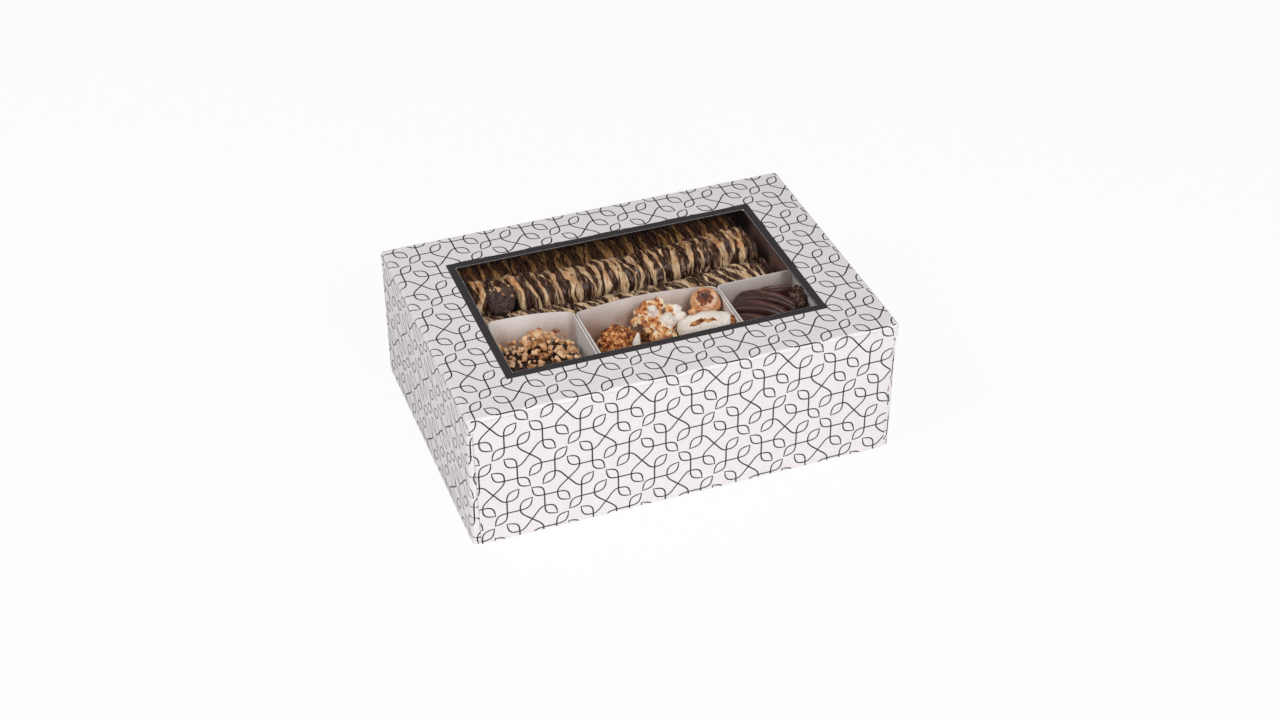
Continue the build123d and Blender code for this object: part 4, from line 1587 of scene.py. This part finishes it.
# Floor, light and camera
floor_size = 4.0
floor_white_share = 0.93
floor_roughness = 0.9
floor_grain_scale = 3
floor_stops = [(0.3, (0.90, 0.90, 0.90)), (0.7, (0.92, 0.92, 0.92))]
sky_tint = (1.0, 0.985, 0.975, 1)
sky_strength = 0.36

# Lamps: name, place, the spot that it aims at, width, watts
lamps = (
    ("low_front", (0.1, -2.3, 0.40), (0, 0, 0.05), 0.8, 7),
    ("upper_left", (-1.3, -0.3, 1.5), (0, 0, 0.08), 0.8, 13),
    ("high_front", (0.2, -1.6, 1.5), (0, 0, 0.08), 0.8, 18),
)


def floor():
    """Plain pale floor that keeps the object's shadow and shows nearly white to the camera."""
    bm = bmesh.new()
    bmesh.ops.create_grid(bm, x_segments=1, y_segments=1, size=floor_size)
    mesh = bpy.data.meshes.new("floor")
    bm.to_mesh(mesh)
    bm.free()
    made = bpy.data.materials.new("floor_paper")
    made.use_nodes = True
    tree, shader, places = node_group(made)
    shader.inputs["Roughness"].default_value = floor_roughness
    tint = ramp(tree, grain(tree, places, floor_grain_scale).outputs[0], floor_stops)
    tree.links.new(tint.outputs["Color"], shader.inputs["Base Color"])
    white = tree.nodes.new("ShaderNodeEmission")
    seen = tree.nodes.new("ShaderNodeLightPath")
    share = tree.nodes.new("ShaderNodeMath")
    share.operation = "MULTIPLY"
    share.inputs[1].default_value = floor_white_share
    tree.links.new(seen.outputs["Is Camera Ray"], share.inputs[0])
    mix = tree.nodes.new("ShaderNodeMixShader")
    tree.links.new(share.outputs["Value"], mix.inputs["Fac"])
    tree.links.new(shader.outputs["BSDF"], mix.inputs[1])
    tree.links.new(white.outputs["Emission"], mix.inputs[2])
    tree.links.new(mix.outputs["Shader"], tree.nodes["Material Output"].inputs["Surface"])
    mesh.materials.append(made)
    plane = bpy.data.objects.new("floor", mesh)
    bpy.context.scene.collection.objects.link(plane)


def area_light(name, place, aim, size, watts):
    """A soft square lamp."""
    lamp = bpy.data.lights.new(name, "AREA")
    lamp.shape = "SQUARE"
    lamp.size = size
    lamp.energy = watts
    holder = bpy.data.objects.new(name, lamp)
    holder.location = place
    holder.rotation_mode = "QUATERNION"
    holder.rotation_quaternion = (Vector(aim) - Vector(place)).to_track_quat("-Z", "Y")
    bpy.context.scene.collection.objects.link(holder)


def surroundings():
    """Even pale light from all round, which the camera sees as white."""
    world = bpy.data.worlds.new("studio")
    bpy.context.scene.world = world
    world.use_nodes = True
    tree = world.node_tree
    light = tree.nodes["Background"]
    light.inputs["Color"].default_value = sky_tint
    light.inputs["Strength"].default_value = sky_strength
    seen = tree.nodes.new("ShaderNodeBackground")
    seen.inputs["Color"].default_value = (1, 1, 1, 1)
    seen.inputs["Strength"].default_value = 1.0
    path = tree.nodes.new("ShaderNodeLightPath")
    mix = tree.nodes.new("ShaderNodeMixShader")
    tree.links.new(path.outputs["Is Camera Ray"], mix.inputs["Fac"])
    tree.links.new(light.outputs["Background"], mix.inputs[1])
    tree.links.new(seen.outputs["Background"], mix.inputs[2])
    tree.links.new(mix.outputs["Shader"], tree.nodes["World Output"].inputs["Surface"])


floor()
surroundings()
for lamp in lamps:
    area_light(*lamp)

azimuth, elevation = radians(camera_azimuth), radians(camera_elevation)
back = Vector((sin(azimuth) * cos(elevation), -cos(azimuth) * cos(elevation), sin(elevation)))
camera_data = bpy.data.cameras.new("camera")
camera_data.lens = camera_lens
camera_data.sensor_width = camera_sensor
camera = bpy.data.objects.new("camera", camera_data)
camera.location = Vector(camera_aim) + back * camera_distance
camera.rotation_mode = "QUATERNION"
camera.rotation_quaternion = (-back).to_track_quat("-Z", "Y")
bpy.context.scene.collection.objects.link(camera)
bpy.context.scene.camera = camera
bpy.context.scene.view_settings.view_transform = "Standard"
